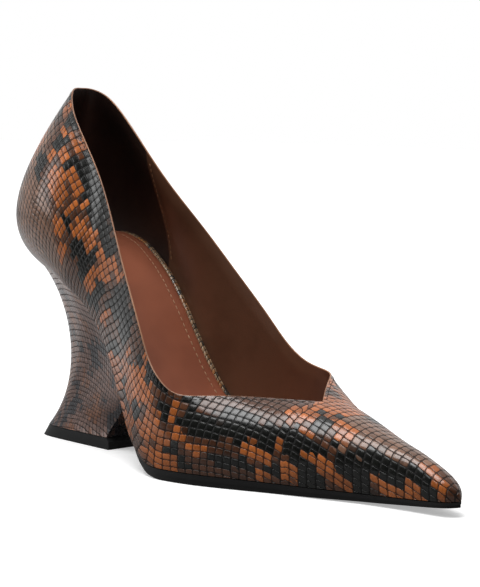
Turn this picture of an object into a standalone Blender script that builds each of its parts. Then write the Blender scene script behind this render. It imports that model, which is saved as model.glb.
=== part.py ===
"""High wedge pump for the right foot: pointed toe, V throat, covered wedge heel.

Shoe axes: the toe points along -Y, the heel is at +Y, +X is the inner side of the foot, +Z is up.
Lengths are metres. Tables hold shares of the named sizes, one row for each section of the shoe.
"""
from typing import NamedTuple

import bmesh
import bpy
import numpy as np

# Last and upper
LENGTH = 0.2465
BALL_WIDTH = 0.0805
SEAT_HEIGHT = 0.0795
COUNTER_TOP = 0.1555
THROAT_HEIGHT = 0.0338
WALL = 0.0015

# Sole under the forefoot
SOLE_EDGE = 0.0045
TOE_SPRING = 0.0038
SOLE_STEP = 0.0005
BREAST = 0.0880
WAIST_INSET = 0.0014

# Insole and sock
BED_DEPTH = 0.0110
BED_DISH = 0.0015
RAND_WIDTH = 0.0030
SOCK_THICKNESS = 0.0012
TOE_END = 0.0040

# Wedge heel and its top piece
FOOT_BACK = 0.0200
FOOT_LENGTH = 0.0448
FOOT_WIDTH = 0.0350
FOOT_SQUARENESS = 8.0
TOP_PIECE_HEIGHT = 0.0050
TOP_PIECE_BEVEL = 0.0016
TOP_PIECE_FLARE = 0.0040
TOP_PIECE_LEDGE = 0.0016
WEDGE_TUCK = 0.0010

# How far, and over what share of its height, each end of the wedge's side curve is drawn in
WAIST_BACK_PULL = 0.0226
WAIST_SIDE_PULL = 0.0040
WAIST_REACH = 0.28
RIM_BACK_PULL = 0.0222
RIM_SIDE_PULL = 0.0090
RIM_REACH = 0.25

# Fits
CLEARANCE = 0.0003
ROLLED_WALL = 1.4
ARCH_PITCH = 0.13
POINT_SHARE = 0.1

# Mesh density
VAMP_STEPS = 12
QUARTER_STEPS = 32
WALL_STEPS = 10
BED_COLUMNS = 6
WEDGE_LEVELS = 9
TOP_PIECE_STEPS = 12
LEAN_STEP = 0.0010
MERGE = 0.00001
SHARP_ANGLE = 40


class Rib(NamedTuple):
    """One line up the wall of the upper, from its foot on the sole to the edge at its top.

    at and edge_at are shares of LENGTH from the back of the heel, out and edge_out are shares of
    BALL_WIDTH away from the centre line, and rise is 1 at the throat and 2 at the counter's top.
    low and top are the lean of the wall at its foot and at its edge, in degrees from upright, and
    the reaches say how far each lean carries, as shares of the rib's own length.
    """

    at: float
    out: float
    edge_at: float
    edge_out: float
    rise: float
    low: float
    low_reach: float
    top: float
    top_reach: float


THROAT_ROW = 6
OPEN_ROW = 9

LATERAL = (
    Rib(1.000, 0.000, 0.978, 0.000, 0.420, 3, 0.40, 72, 0.44),
    Rib(0.990, 0.042, 0.960, 0.000, 0.490, 8, 0.40, 80, 0.46),
    Rib(0.955, 0.076, 0.915, 0.000, 0.615, 9, 0.42, 86, 0.48),
    Rib(0.900, 0.105, 0.870, 0.000, 0.700, 9, 0.44, 90, 0.50),
    Rib(0.840, 0.152, 0.820, -0.002, 0.802, 9, 0.44, 90, 0.50),
    Rib(0.780, 0.222, 0.765, -0.004, 0.915, 8, 0.46, 90, 0.50),
    Rib(0.722, 0.292, 0.713, -0.006, 1.000, 7, 0.46, 89, 0.50),
    Rib(0.668, 0.366, 0.648, 0.155, 1.005, 6, 0.42, 76, 0.46),
    Rib(0.615, 0.441, 0.591, 0.298, 1.006, 6, 0.38, 58, 0.40),
    Rib(0.573, 0.490, 0.555, 0.410, 1.003, 6, 0.36, 38, 0.36),
    Rib(0.540, 0.515, 0.526, 0.472, 1.012, 6, 0.34, 20, 0.34),
    Rib(0.506, 0.527, 0.494, 0.492, 1.059, 5, 0.34, 10, 0.34),
    Rib(0.474, 0.515, 0.466, 0.478, 1.113, 4, 0.34, 8, 0.34),
    Rib(0.425, 0.465, 0.425, 0.445, 1.232, 4, 0.34, 8, 0.34),
    Rib(0.364, 0.392, 0.360, 0.378, 1.400, 6, 0.30, 8, 0.34),
    Rib(0.296, 0.352, 0.290, 0.304, 1.597, 10, 0.30, 10, 0.34),
    Rib(0.243, 0.352, 0.235, 0.262, 1.737, 18, 0.32, 13, 0.36),
    Rib(0.190, 0.352, 0.177, 0.232, 1.868, 30, 0.34, 21, 0.40),
    Rib(0.142, 0.322, 0.143, 0.187, 1.930, 42, 0.36, 27, 0.44),
    Rib(0.086, 0.262, 0.113, 0.117, 1.982, 50, 0.36, 32, 0.46),
    Rib(0.046, 0.136, 0.090, 0.035, 1.999, 54, 0.36, 34, 0.46),
    Rib(0.032, -0.020, 0.075, -0.045, 2.000, 55, 0.36, 34, 0.46),
)

MEDIAL = (
    Rib(1.000, 0.000, 0.978, 0.000, 0.420, 3, 0.40, 72, 0.44),
    Rib(0.990, 0.044, 0.960, 0.000, 0.490, 8, 0.40, 80, 0.46),
    Rib(0.955, 0.092, 0.915, 0.000, 0.615, 9, 0.40, 86, 0.48),
    Rib(0.900, 0.140, 0.870, 0.000, 0.700, 10, 0.42, 90, 0.50),
    Rib(0.840, 0.200, 0.820, 0.002, 0.802, 10, 0.44, 90, 0.52),
    Rib(0.780, 0.270, 0.765, 0.004, 0.915, 10, 0.46, 90, 0.54),
    Rib(0.722, 0.342, 0.713, 0.006, 1.000, 9, 0.46, 91, 0.54),
    Rib(0.675, 0.392, 0.676, 0.143, 1.020, 8, 0.44, 86, 0.50),
    Rib(0.635, 0.430, 0.640, 0.286, 1.036, 7, 0.40, 66, 0.44),
    Rib(0.600, 0.455, 0.611, 0.391, 1.045, 7, 0.36, 36, 0.38),
    Rib(0.565, 0.466, 0.579, 0.442, 1.050, 7, 0.34, 16, 0.36),
    Rib(0.525, 0.465, 0.534, 0.455, 1.067, 7, 0.34, 10, 0.34),
    Rib(0.485, 0.440, 0.492, 0.448, 1.117, 7, 0.34, 6, 0.34),
    Rib(0.440, 0.390, 0.449, 0.415, 1.215, 6, 0.34, 4, 0.34),
    Rib(0.385, 0.335, 0.389, 0.348, 1.363, 6, 0.30, 6, 0.34),
    Rib(0.325, 0.305, 0.326, 0.278, 1.515, 8, 0.30, 8, 0.34),
    Rib(0.260, 0.310, 0.256, 0.212, 1.670, 16, 0.32, 12, 0.36),
    Rib(0.200, 0.328, 0.192, 0.178, 1.815, 28, 0.34, 16, 0.40),
    Rib(0.148, 0.322, 0.141, 0.178, 1.910, 40, 0.35, 20, 0.44),
    Rib(0.088, 0.285, 0.094, 0.173, 1.976, 48, 0.35, 26, 0.46),
    Rib(0.047, 0.170, 0.073, 0.116, 1.998, 53, 0.36, 31, 0.46),
    Rib(0.032, 0.020, 0.075, 0.045, 2.000, 55, 0.36, 34, 0.46),
)

SIDES = ((LATERAL, -1), (MEDIAL, 1))


class Level(NamedTuple):
    """Heights along the bottom of the shoe at one station, a share of LENGTH from the heel.

    pitch is a share of SEAT_HEIGHT less SOLE_EDGE, sole a share of SOLE_EDGE, spring a share of
    TOE_SPRING and bed a share of BED_DEPTH.
    """

    at: float
    pitch: float
    sole: float
    spring: float
    bed: float


BOTTOM = (
    Level(0.000, 1.000, 1.00, 0.00, 1.00),
    Level(0.090, 0.985, 0.95, 0.00, 0.98),
    Level(0.145, 0.955, 0.85, 0.00, 0.90),
    Level(0.194, 0.905, 0.75, 0.00, 0.72),
    Level(0.243, 0.825, 0.65, 0.00, 0.58),
    Level(0.290, 0.685, 0.60, 0.00, 0.46),
    Level(0.325, 0.525, 0.60, 0.00, 0.42),
    Level(0.360, 0.350, 0.60, 0.00, 0.42),
    Level(0.390, 0.215, 0.65, 0.00, 0.42),
    Level(0.416, 0.134, 0.72, 0.00, 0.42),
    Level(0.460, 0.048, 0.82, 0.00, 0.42),
    Level(0.490, 0.012, 0.95, 0.00, 0.40),
    Level(0.520, 0.000, 1.04, 0.00, 0.40),
    Level(0.600, 0.000, 1.02, 0.00, 0.36),
    Level(0.730, 0.000, 0.90, 0.04, 0.34),
    Level(0.850, 0.000, 0.72, 0.27, 0.32),
    Level(0.930, 0.000, 0.60, 0.60, 0.30),
    Level(1.000, 0.000, 0.52, 1.00, 0.30),
)


def steady(knots, values, x):
    """Cubic through a table's rows that never overshoots them."""
    knots = np.asarray(knots, float)
    values = np.asarray(values, float)
    step = np.diff(knots)
    slope = np.diff(values) / step
    inner = np.where(slope[:-1] * slope[1:] > 0, 2 / (1 / np.where(slope[:-1] == 0, 1, slope[:-1])
                     + 1 / np.where(slope[1:] == 0, 1, slope[1:])), 0.0)
    tangent = np.concatenate([slope[:1], inner, slope[-1:]])
    x = np.clip(x, knots[0], knots[-1])
    k = np.clip(np.searchsorted(knots, x, side="right") - 1, 0, len(step) - 1)
    t = (x - knots[k]) / step[k]
    return ((1 + 2 * t) * (1 - t) ** 2 * values[k] + t * (1 - t) ** 2 * step[k] * tangent[k]
            + t * t * (3 - 2 * t) * values[k + 1] + t * t * (t - 1) * step[k] * tangent[k + 1])


def fair(knots, rows, x):
    """Natural cubic spline through the rows of a table, column by column."""
    knots = np.asarray(knots, float)
    rows = np.asarray(rows, float)
    step = np.diff(knots)
    size = len(knots)
    system = np.eye(size)
    right = np.zeros_like(rows)
    for i in range(1, size - 1):
        system[i, i - 1:i + 2] = step[i - 1], 2 * (step[i - 1] + step[i]), step[i]
        right[i] = 6 * ((rows[i + 1] - rows[i]) / step[i] - (rows[i] - rows[i - 1]) / step[i - 1])
    bend = np.linalg.solve(system, right)
    k = np.clip(np.searchsorted(knots, x, side="right") - 1, 0, size - 2)
    a = (x - knots[k])[:, None]
    b = (knots[k + 1] - x)[:, None]
    h = step[k][:, None]
    return (bend[k] * b ** 3 / (6 * h) + bend[k + 1] * a ** 3 / (6 * h)
            + (rows[k] / h - bend[k] * h / 6) * b + (rows[k + 1] / h - bend[k + 1] * h / 6) * a)


def bottom(station, column):
    """One column of the BOTTOM table at the given distances from the heel."""
    knots = [level.at * LENGTH for level in BOTTOM]
    return steady(knots, [getattr(level, column) for level in BOTTOM], station)


def sole_under(station):
    """Height of the underside of the sole, 0 on the flat of the forefoot."""
    return bottom(station, "pitch") * (SEAT_HEIGHT - SOLE_EDGE) + bottom(station, "spring") * TOE_SPRING


def foot_height(station):
    """Height of the foot of the upper, which is the top of the sole."""
    return sole_under(station) + bottom(station, "sole") * SOLE_EDGE


def edge_height(rise):
    """Height of the upper's top edge from its rise."""
    above = THROAT_HEIGHT + (rise - 1) * (COUNTER_TOP - THROAT_HEIGHT)
    return np.where(rise <= 1, rise * THROAT_HEIGHT, above)


def columns(table, *names):
    """Named columns of a table of ribs, one row for each rib."""
    return np.array([[getattr(rib, name) for name in names] for rib in table])


def bezier(start, start_hand, end_hand, end, t):
    """Points at the shares t along cubic curves."""
    return (start * (1 - t) ** 3 + start_hand * 3 * t * (1 - t) ** 2
            + end_hand * 3 * t * t * (1 - t) + end * t ** 3)


def walked(line):
    """Distance walked along a line to each of its points."""
    return np.concatenate([[0.0], np.cumsum(np.hypot(*np.diff(line, axis=0).T))])


def row_marks():
    """Distance along the foot of the upper to each row, the mean of both sides."""
    feet = [columns(table, "out", "at") * (BALL_WIDTH, LENGTH) for table, _ in SIDES]
    return (walked(feet[0]) + walked(feet[1])) / 2


def sample_marks():
    """Where the ribs of the mesh stand: toe to throat, then throat to the back."""
    marks = row_marks()
    vamp = np.linspace(marks[0], marks[THROAT_ROW], VAMP_STEPS + 1)
    quarter = np.linspace(marks[THROAT_ROW], marks[-1], QUARTER_STEPS + 1)
    return np.concatenate([vamp, quarter[1:]])


def outward(line, side):
    """Directions in plan that point out of the shoe, square to a line along one of its sides.

    At the toe the direction is straight forward, and at the heel straight back.
    """
    walk = np.gradient(line, axis=0)
    out = np.stack([-walk[:, 1], walk[:, 0]], axis=1) * -side
    out /= np.linalg.norm(out, axis=1, keepdims=True)
    out[0] = 0.0, -1.0
    out[-1] = 0.0, 1.0
    return out


def top_edge(table, side):
    """Points of the upper's edge: the middle of the vamp up to the throat, then the topline."""
    marks = row_marks()
    at = sample_marks()
    rows = columns(table, "edge_out", "edge_at", "rise")
    vamp = fair(marks[:THROAT_ROW + 1], rows[:THROAT_ROW + 1], at[:VAMP_STEPS + 1])
    topline = fair(marks[THROAT_ROW:], rows[THROAT_ROW:], at[VAMP_STEPS + 1:])
    edge_out, edge_at, rise = np.concatenate([vamp, topline]).T
    return np.stack([side * edge_out * BALL_WIDTH, -edge_at * LENGTH, edge_height(rise)], axis=1)


def ribs(table, side, levels):
    """Points of the wall on one side, an array of ribs by levels by x, y, z.

    Each rib is a cubic curve from its foot to its edge. It leaves its foot at the table's lean,
    square to the outline of the foot. It meets the middle of the vamp straight across, following
    the slope of the vamp's own line, and eases from the throat back to meeting the topline square.
    """
    marks = row_marks()
    at = sample_marks()
    foot_at, foot_out = (fair(marks, columns(table, "at", "out"), at) * (LENGTH, BALL_WIDTH)).T
    foot = np.stack([side * foot_out, -foot_at, foot_height(foot_at)], axis=1)
    top = top_edge(table, side)
    names = ("low", "low_reach", "top", "top_reach")
    low, low_reach, high, top_reach = (steady(marks, columns(table, name)[:, 0], at) for name in names)
    span = np.linalg.norm(top - foot, axis=1)
    low_hand = (span * low_reach)[:, None]
    top_hand = (span * top_reach)[:, None]
    low = np.radians(low)[:, None]
    high = np.radians(high)[:, None]
    out = outward(foot[:, :2], side)
    across = foot[:, :2] - top[:, :2]
    across /= np.linalg.norm(across, axis=1, keepdims=True)
    opened = np.clip((at - marks[THROAT_ROW]) / (marks[OPEN_ROW] - marks[THROAT_ROW]), 0, 1)[:, None]
    opened = opened * opened * (3 - 2 * opened)
    lean = across * (1 - opened) + out * opened
    lean /= np.linalg.norm(lean, axis=1, keepdims=True)
    forward, climb = np.gradient(top[:VAMP_STEPS + 1, 1:], axis=0).T
    fall = climb / np.minimum(-forward, -MERGE)
    fall = np.append(fall, np.full(len(at) - len(fall), fall[-1]))[:, None] * (1 - opened)
    lift = np.concatenate([out * np.sin(low), np.cos(low)], axis=1) * low_hand
    fold = np.concatenate([lean * np.sin(high), -np.cos(high) - fall * lean[:, 1:]], axis=1) * top_hand
    t = np.linspace(0, 1, levels)[None, :, None]
    return bezier(foot[:, None], (foot + lift)[:, None], (top + fold)[:, None], top[:, None], t)


def wall_line(wall, heights):
    """Where each rib of a wall passes the given heights, in plan."""
    line = np.empty((len(wall), 2))
    for i, rib in enumerate(wall):
        line[i] = [np.interp(heights[i], rib[:, 2], rib[:, axis]) for axis in range(2)]
    return line


def contour(table, side, heights, depth, inset):
    """The wall's line at the given heights, moved inwards.

    depth is measured square to the wall, however far it leans there, and inset level with the floor.
    """
    wall = ribs(table, side, WALL_STEPS + 1)
    line = wall_line(wall, heights)
    lean = np.linalg.norm(wall_line(wall, heights + LEAN_STEP) - line, axis=1) / LEAN_STEP
    return line - outward(line, side) * (depth * np.hypot(1, lean) + inset)[:, None]


def trim_toe(lateral, medial):
    """Drop the rows at the pointed toe where two inset lines would meet or cross."""
    first = int(np.argmax(medial[:, 0] - lateral[:, 0] > TOE_END))
    return lateral[first:], medial[first:]


def sheet(lateral, medial, height, dish=0.0):
    """Grid of points between the two sides, with heights from a function of the station.

    The rows run from the toe to the heel and the columns from the outer to the inner side. The
    dish is how far the middle of a full-width row sinks.
    """
    share = np.linspace(0, 1, BED_COLUMNS + 1)[None, :, None]
    plan = lateral[:, None] * (1 - share) + medial[:, None] * share
    width = np.linalg.norm(medial - lateral, axis=1)[:, None] / BALL_WIDTH
    sink = dish * width * (4 * share * (1 - share))[..., 0]
    return np.concatenate([plan, (height(-plan[..., 1]) - sink)[..., None]], axis=2)


def rim(grid):
    """The border of a grid as one closed ring."""
    return np.concatenate([grid[:-1, 0], grid[-1, :-1], grid[:0:-1, -1], grid[0, :0:-1]])


def add_object(name, points, faces, finish):
    """Make one closed, smooth-shaded object from points and faces, facing out."""
    mesh = bpy.data.meshes.new(name)
    build = bmesh.new()
    verts = [build.verts.new(point) for point in points]
    for face in faces:
        build.faces.new([verts[i] for i in face])
    bmesh.ops.remove_doubles(build, verts=build.verts, dist=MERGE)
    bmesh.ops.dissolve_degenerate(build, edges=build.edges, dist=MERGE / 10)
    bmesh.ops.recalc_face_normals(build, faces=build.faces)
    build.to_mesh(mesh)
    build.free()
    mesh.shade_smooth()
    mesh.set_sharp_from_angle(angle=np.radians(SHARP_ANGLE))
    mesh.materials.append(finish)
    thing = bpy.data.objects.new(name, mesh)
    bpy.context.scene.collection.objects.link(thing)
    return thing


def grid_faces(rows, columns, start):
    """Quads of a grid whose first point has the index start."""
    faces = []
    for i in range(rows - 1):
        for j in range(columns - 1):
            a = start + i * columns + j
            faces.append((a, a + 1, a + columns + 1, a + columns))
    return faces


def slab(name, rings, top, base, finish):
    """A closed piece from its top grid, its base grid and the rings of its side between them."""
    rows, columns = top.shape[:2]
    sides = [rim(top), *rings, rim(base)]
    points = [top.reshape(-1, 3), base.reshape(-1, 3), *sides]
    faces = grid_faces(rows, columns, 0) + grid_faces(rows, columns, rows * columns)
    around = len(sides[0])
    start = 2 * rows * columns
    for level in range(len(sides) - 1):
        for k in range(around):
            a = start + level * around + k
            b = start + level * around + (k + 1) % around
            faces.append((a, b, b + around, a + around))
    return add_object(name, np.concatenate(points), faces, finish)


def finish(name, colour, roughness, metallic=0.0):
    """A plain Principled material."""
    material = bpy.data.materials.new(name)
    material.use_nodes = True
    shader = material.node_tree.nodes["Principled BSDF"]
    shader.inputs["Base Color"].default_value = (*colour, 1.0)
    shader.inputs["Roughness"].default_value = roughness
    shader.inputs["Metallic"].default_value = metallic
    return material


def make_upper(leather):
    """The hollow upper: one wall from the sole up to the topline, closed over the toe."""
    lateral = ribs(LATERAL, -1, WALL_STEPS + 1)
    medial = ribs(MEDIAL, 1, WALL_STEPS + 1)
    rows, columns = lateral.shape[:2]
    points = np.concatenate([lateral.reshape(-1, 3), medial.reshape(-1, 3)])
    faces = grid_faces(rows, columns, 0)
    faces += [face[::-1] for face in grid_faces(rows, columns, rows * columns)]
    upper = add_object("upper", points, faces, leather)
    solidify = upper.modifiers.new("wall", "SOLIDIFY")
    solidify.thickness = WALL
    solidify.offset = -1.0
    solidify.use_even_offset = True
    solidify.use_rim = True
    return upper


def bed_height(station):
    """Height of the top of the insole at its edge."""
    return foot_height(station) + bottom(station, "bed") * BED_DEPTH


def wall_heights(table, side, lift):
    """Foot height of each rib plus a share of the bed's thickness there."""
    foot = ribs(table, side, 2)[:, 0]
    return foot[:, 2] + bottom(-foot[:, 1], "bed") * BED_DEPTH * lift


def make_insole(leather):
    """Insole board and heel pad inside the upper, on the wedge and the sole."""
    depth = WALL + CLEARANCE
    low_inset = WALL * ROLLED_WALL + CLEARANCE
    top_lines = [contour(*side, wall_heights(*side, 1.0), depth, 0.0) for side in SIDES]
    low_lines = [contour(*side, wall_heights(*side, 0.0), 0.0, low_inset) for side in SIDES]
    first = len(top_lines[0]) - min(len(trim_toe(*lines)[0]) for lines in (top_lines, low_lines))
    top = sheet(top_lines[0][first:], top_lines[1][first:], bed_height, BED_DISH)
    base = sheet(low_lines[0][first:], low_lines[1][first:], foot_height)
    return slab("insole", [], top, base, leather)


def make_sock(leather):
    """Sock on the insole, set in from its edge so that the covered rand shows."""
    depth = WALL + CLEARANCE
    lines = trim_toe(*[contour(*side, wall_heights(*side, 1.0), depth, RAND_WIDTH) for side in SIDES])
    top = sheet(*lines, lambda station: bed_height(station) + CLEARANCE + SOCK_THICKNESS, BED_DISH)
    base = sheet(*lines, lambda station: bed_height(station) + CLEARANCE, BED_DISH)
    return slab("sock", [], top, base, leather)


def split_at(line, station):
    """The stretches of a line ahead of and behind a station. Both end on it."""
    behind = int(np.argmax(-line[:, 1] <= station))
    ahead = line[behind - 1]
    share = (-ahead[1] - station) / (line[behind, 1] - ahead[1])
    point = (ahead * (1 - share) + line[behind] * share)[None]
    return np.concatenate([line[:behind], point]), np.concatenate([point, line[behind:]])


def matched(lines):
    """Lines resampled evenly, each with as many points as the longest one."""
    count = max(len(line) for line in lines)
    even = []
    for line in lines:
        run = walked(line)
        at = np.linspace(0, run[-1], count)
        even.append(np.stack([np.interp(at, run, line[:, axis]) for axis in range(2)], axis=1))
    return even


def make_outsole(rubber):
    """Thin sole under the forefoot and the arch, with a step in its side."""
    lines = []
    for side in SIDES:
        foot = ribs(*side, 2)[:, 0]
        inset = WAIST_INSET * np.clip(bottom(-foot[:, 1], "pitch") / ARCH_PITCH, 0, 1)
        ahead, _ = split_at(contour(*side, foot[:, 2], 0.0, inset), BREAST)
        lines.append(ahead)
    lines = matched(lines)
    top = sheet(*lines, lambda station: foot_height(station) - CLEARANCE)
    base = sheet(*lines, sole_under)
    middle = (rim(top) + rim(base)) / 2
    rings = [middle, middle - np.sign(middle) * (SOLE_STEP, 0.0, 0.0)]
    base[..., 0] -= np.sign(base[..., 0]) * np.minimum(SOLE_STEP, np.abs(base[..., 0]) * POINT_SHARE)
    return slab("outsole", rings, top, base, rubber)


def heel_turns(count):
    """Angles around half of the heel's foot, from its front corner to the middle of its back."""
    return np.linspace(0, np.pi / 2, count)


def heel_grid(count, height, back_flare=0.0, front=0.0):
    """Grid over the foot of the heel at one height: square at the front, rounded at the back."""
    turn = heel_turns(count)
    power = 2 / FOOT_SQUARENESS
    along = np.sin(turn) ** power
    across = np.cos(turn).clip(0, 1) ** power
    station = FOOT_BACK + FOOT_LENGTH + front - (FOOT_LENGTH + front + back_flare) * along
    half = np.stack([FOOT_WIDTH / 2 * across, -station], axis=1)
    return sheet(half * (-1, 1), half, lambda station: np.full_like(station, height))


def heel_pull(count, side_pull, back_pull):
    """How far each point around the wedge is drawn in, to the middle and to the front."""
    turn = heel_turns(count)[:, None]
    column = np.linspace(1, -1, BED_COLUMNS + 1)[None]
    sideways = np.cos(turn) * column * side_pull
    forward = -np.sin(turn) * np.ones_like(column) * back_pull
    return rim(np.stack([sideways, forward, np.zeros_like(forward)], axis=2))


def make_wedge(leather):
    """Covered wedge from the shoe's underside to the top piece, waisted at its back and sides."""
    lines = []
    for side in SIDES:
        foot = ribs(*side, 2)[:, 0]
        _, behind = split_at(contour(*side, foot[:, 2], 0.0, WEDGE_TUCK), BREAST - CLEARANCE)
        lines.append(behind)
    lines = matched(lines)
    count = len(lines[0])
    top = sheet(*lines, lambda station: foot_height(station) - CLEARANCE)
    base = heel_grid(count, TOP_PIECE_HEIGHT + CLEARANCE)
    high = rim(top)
    low = rim(base)
    tall = (high[:, 2:] - low[:, 2:]) * (0, 0, 1)
    low_hand = low + heel_pull(count, WAIST_SIDE_PULL, WAIST_BACK_PULL) + tall * WAIST_REACH
    high_hand = high + heel_pull(count, RIM_SIDE_PULL, RIM_BACK_PULL) - tall * RIM_REACH
    shares = np.linspace(1, 0, WEDGE_LEVELS + 2)[1:-1]
    rings = [bezier(low, low_hand, high_hand, high, share) for share in shares]
    return slab("wedge", rings, top, base, leather)


def make_top_piece(rubber):
    """Wear piece under the wedge, flared at its back, with a bevelled ledge at its front."""
    bevel = TOP_PIECE_BEVEL / TOP_PIECE_HEIGHT
    top = heel_grid(TOP_PIECE_STEPS, TOP_PIECE_HEIGHT)
    middle = heel_grid(TOP_PIECE_STEPS, TOP_PIECE_HEIGHT - TOP_PIECE_BEVEL,
                       TOP_PIECE_FLARE * bevel, TOP_PIECE_LEDGE)
    base = heel_grid(TOP_PIECE_STEPS, 0.0, TOP_PIECE_FLARE, TOP_PIECE_LEDGE)
    return slab("top_piece", [rim(middle)], top, base, rubber)


def centre_on_footprint(things):
    """Move every piece so that the origin is under the middle of the shoe's box."""
    graph = bpy.context.evaluated_depsgraph_get()
    corners = []
    for thing in things:
        mesh = thing.evaluated_get(graph).to_mesh()
        points = np.empty(len(mesh.vertices) * 3)
        mesh.vertices.foreach_get("co", points)
        corners.append(points.reshape(-1, 3))
    points = np.concatenate(corners)
    middle = (points.min(axis=0) + points.max(axis=0)) / 2
    for thing in things:
        thing.location = (-middle[0], -middle[1], 0.0)


def main():
    """Build the shoe in an empty scene, each piece with its own material."""
    for thing in list(bpy.data.objects):
        bpy.data.objects.remove(thing)
    pieces = [
        make_upper(finish("upper_leather", (0.160, 0.075, 0.035), 0.32)),
        make_insole(finish("rand_leather", (0.135, 0.062, 0.032), 0.38)),
        make_sock(finish("sock_leather", (0.170, 0.062, 0.033), 0.50)),
        make_outsole(finish("outsole_rubber", (0.012, 0.012, 0.013), 0.50)),
        make_wedge(finish("wedge_leather", (0.150, 0.072, 0.038), 0.34)),
        make_top_piece(finish("heel_rubber", (0.016, 0.016, 0.018), 0.60)),
    ]
    centre_on_footprint(pieces)


if __name__ == "__main__":
    main()
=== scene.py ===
"""Looks of one wedge pump: snake-embossed leather, lining, sock, stitching, sole and heel piece.

Shoe axes: the toe points along -Y, the heel is at +Y, +X is the inner side of the foot, +Z is up.
Lengths are metres. The shoe's own sections are worked out here at a fine step, and each fine
surface stands for the frame's solid of the same form.
"""

import logging
from dataclasses import dataclass
from enum import Enum
from typing import Callable, Mapping, NamedTuple, Optional, Sequence, Union

import bmesh
import bpy
import numpy as np
from mathutils import Matrix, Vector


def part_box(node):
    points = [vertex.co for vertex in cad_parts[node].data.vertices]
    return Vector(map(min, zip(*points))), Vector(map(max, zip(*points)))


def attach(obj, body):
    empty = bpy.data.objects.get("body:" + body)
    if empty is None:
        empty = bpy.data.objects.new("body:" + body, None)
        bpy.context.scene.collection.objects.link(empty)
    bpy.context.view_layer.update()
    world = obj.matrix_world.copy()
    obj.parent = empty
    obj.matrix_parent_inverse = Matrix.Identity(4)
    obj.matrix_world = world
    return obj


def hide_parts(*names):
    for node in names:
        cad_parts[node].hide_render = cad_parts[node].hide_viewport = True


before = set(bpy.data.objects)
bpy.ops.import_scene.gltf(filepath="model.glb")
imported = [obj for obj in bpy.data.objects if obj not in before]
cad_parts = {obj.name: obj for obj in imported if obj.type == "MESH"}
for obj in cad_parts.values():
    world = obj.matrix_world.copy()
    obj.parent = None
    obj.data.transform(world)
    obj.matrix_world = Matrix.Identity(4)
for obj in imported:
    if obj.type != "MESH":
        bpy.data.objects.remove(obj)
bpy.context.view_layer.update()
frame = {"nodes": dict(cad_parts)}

Array = np.ndarray
Colour = tuple[float, float, float]
log = logging.getLogger("pump")


class Rib(NamedTuple):
    """One line up the wall of the upper, from its foot on the sole to the edge at its top.

    at and edge_at are shares of the length from the back of the heel, out and edge_out are shares
    of the ball width away from the centre line, and rise is 1 at the throat and 2 at the
    counter's top. low and top are the lean of the wall at its foot and at its edge, in degrees
    from upright, and the reaches say how far each lean carries, as shares of the rib's length.
    """

    at: float
    out: float
    edge_at: float
    edge_out: float
    rise: float
    low: float
    low_reach: float
    top: float
    top_reach: float


class Level(NamedTuple):
    """Heights along the bottom of the shoe at one station, a share of the length from the heel."""

    at: float
    pitch: float
    sole: float
    spring: float
    bed: float


# Rows of the tables of ribs: the throat's point, the first rib that leans straight out, and the
# first ones with the quarters' finer scales, with scales that follow the topline, and with scales
# that stand fully square to it.
THROAT_ROW = 6
OPEN_ROW = 9
QUARTER_ROW = 11
FOLLOW_ROW = 12
SQUARE_ROW = 13

# Metres: the cells of a plain finish's map, points that are one point, and edges that are none.
PLAIN_CELL = 0.003
SAME_POINT = 4e-6
NO_EDGE = 1e-6

# One ring in so many gives the length round a piece's side.
RING_SAMPLE = 8

LATERAL = (
    Rib(1.000, 0.000, 0.978, 0.000, 0.420, 3, 0.40, 72, 0.44),
    Rib(0.990, 0.042, 0.960, 0.000, 0.490, 8, 0.40, 80, 0.46),
    Rib(0.955, 0.076, 0.915, 0.000, 0.615, 9, 0.42, 86, 0.48),
    Rib(0.900, 0.105, 0.870, 0.000, 0.700, 9, 0.44, 90, 0.50),
    Rib(0.840, 0.152, 0.820, -0.002, 0.802, 9, 0.44, 90, 0.50),
    Rib(0.780, 0.222, 0.765, -0.004, 0.915, 8, 0.46, 90, 0.50),
    Rib(0.722, 0.292, 0.713, -0.006, 1.000, 7, 0.46, 89, 0.50),
    Rib(0.668, 0.366, 0.648, 0.155, 1.005, 6, 0.42, 76, 0.46),
    Rib(0.615, 0.441, 0.591, 0.298, 1.006, 6, 0.38, 58, 0.40),
    Rib(0.573, 0.490, 0.555, 0.410, 1.003, 6, 0.36, 38, 0.36),
    Rib(0.540, 0.515, 0.526, 0.472, 1.012, 6, 0.34, 20, 0.34),
    Rib(0.506, 0.527, 0.494, 0.492, 1.059, 5, 0.34, 10, 0.34),
    Rib(0.474, 0.515, 0.466, 0.478, 1.113, 4, 0.34, 8, 0.34),
    Rib(0.425, 0.465, 0.425, 0.445, 1.232, 4, 0.34, 8, 0.34),
    Rib(0.364, 0.392, 0.360, 0.378, 1.400, 6, 0.30, 8, 0.34),
    Rib(0.296, 0.352, 0.290, 0.304, 1.597, 10, 0.30, 10, 0.34),
    Rib(0.243, 0.352, 0.235, 0.262, 1.737, 18, 0.32, 13, 0.36),
    Rib(0.190, 0.352, 0.177, 0.232, 1.868, 30, 0.34, 21, 0.40),
    Rib(0.142, 0.322, 0.143, 0.187, 1.930, 42, 0.36, 27, 0.44),
    Rib(0.086, 0.262, 0.113, 0.117, 1.982, 50, 0.36, 32, 0.46),
    Rib(0.046, 0.136, 0.090, 0.035, 1.999, 54, 0.36, 34, 0.46),
    Rib(0.032, -0.020, 0.075, -0.045, 2.000, 55, 0.36, 34, 0.46),
)

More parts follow.
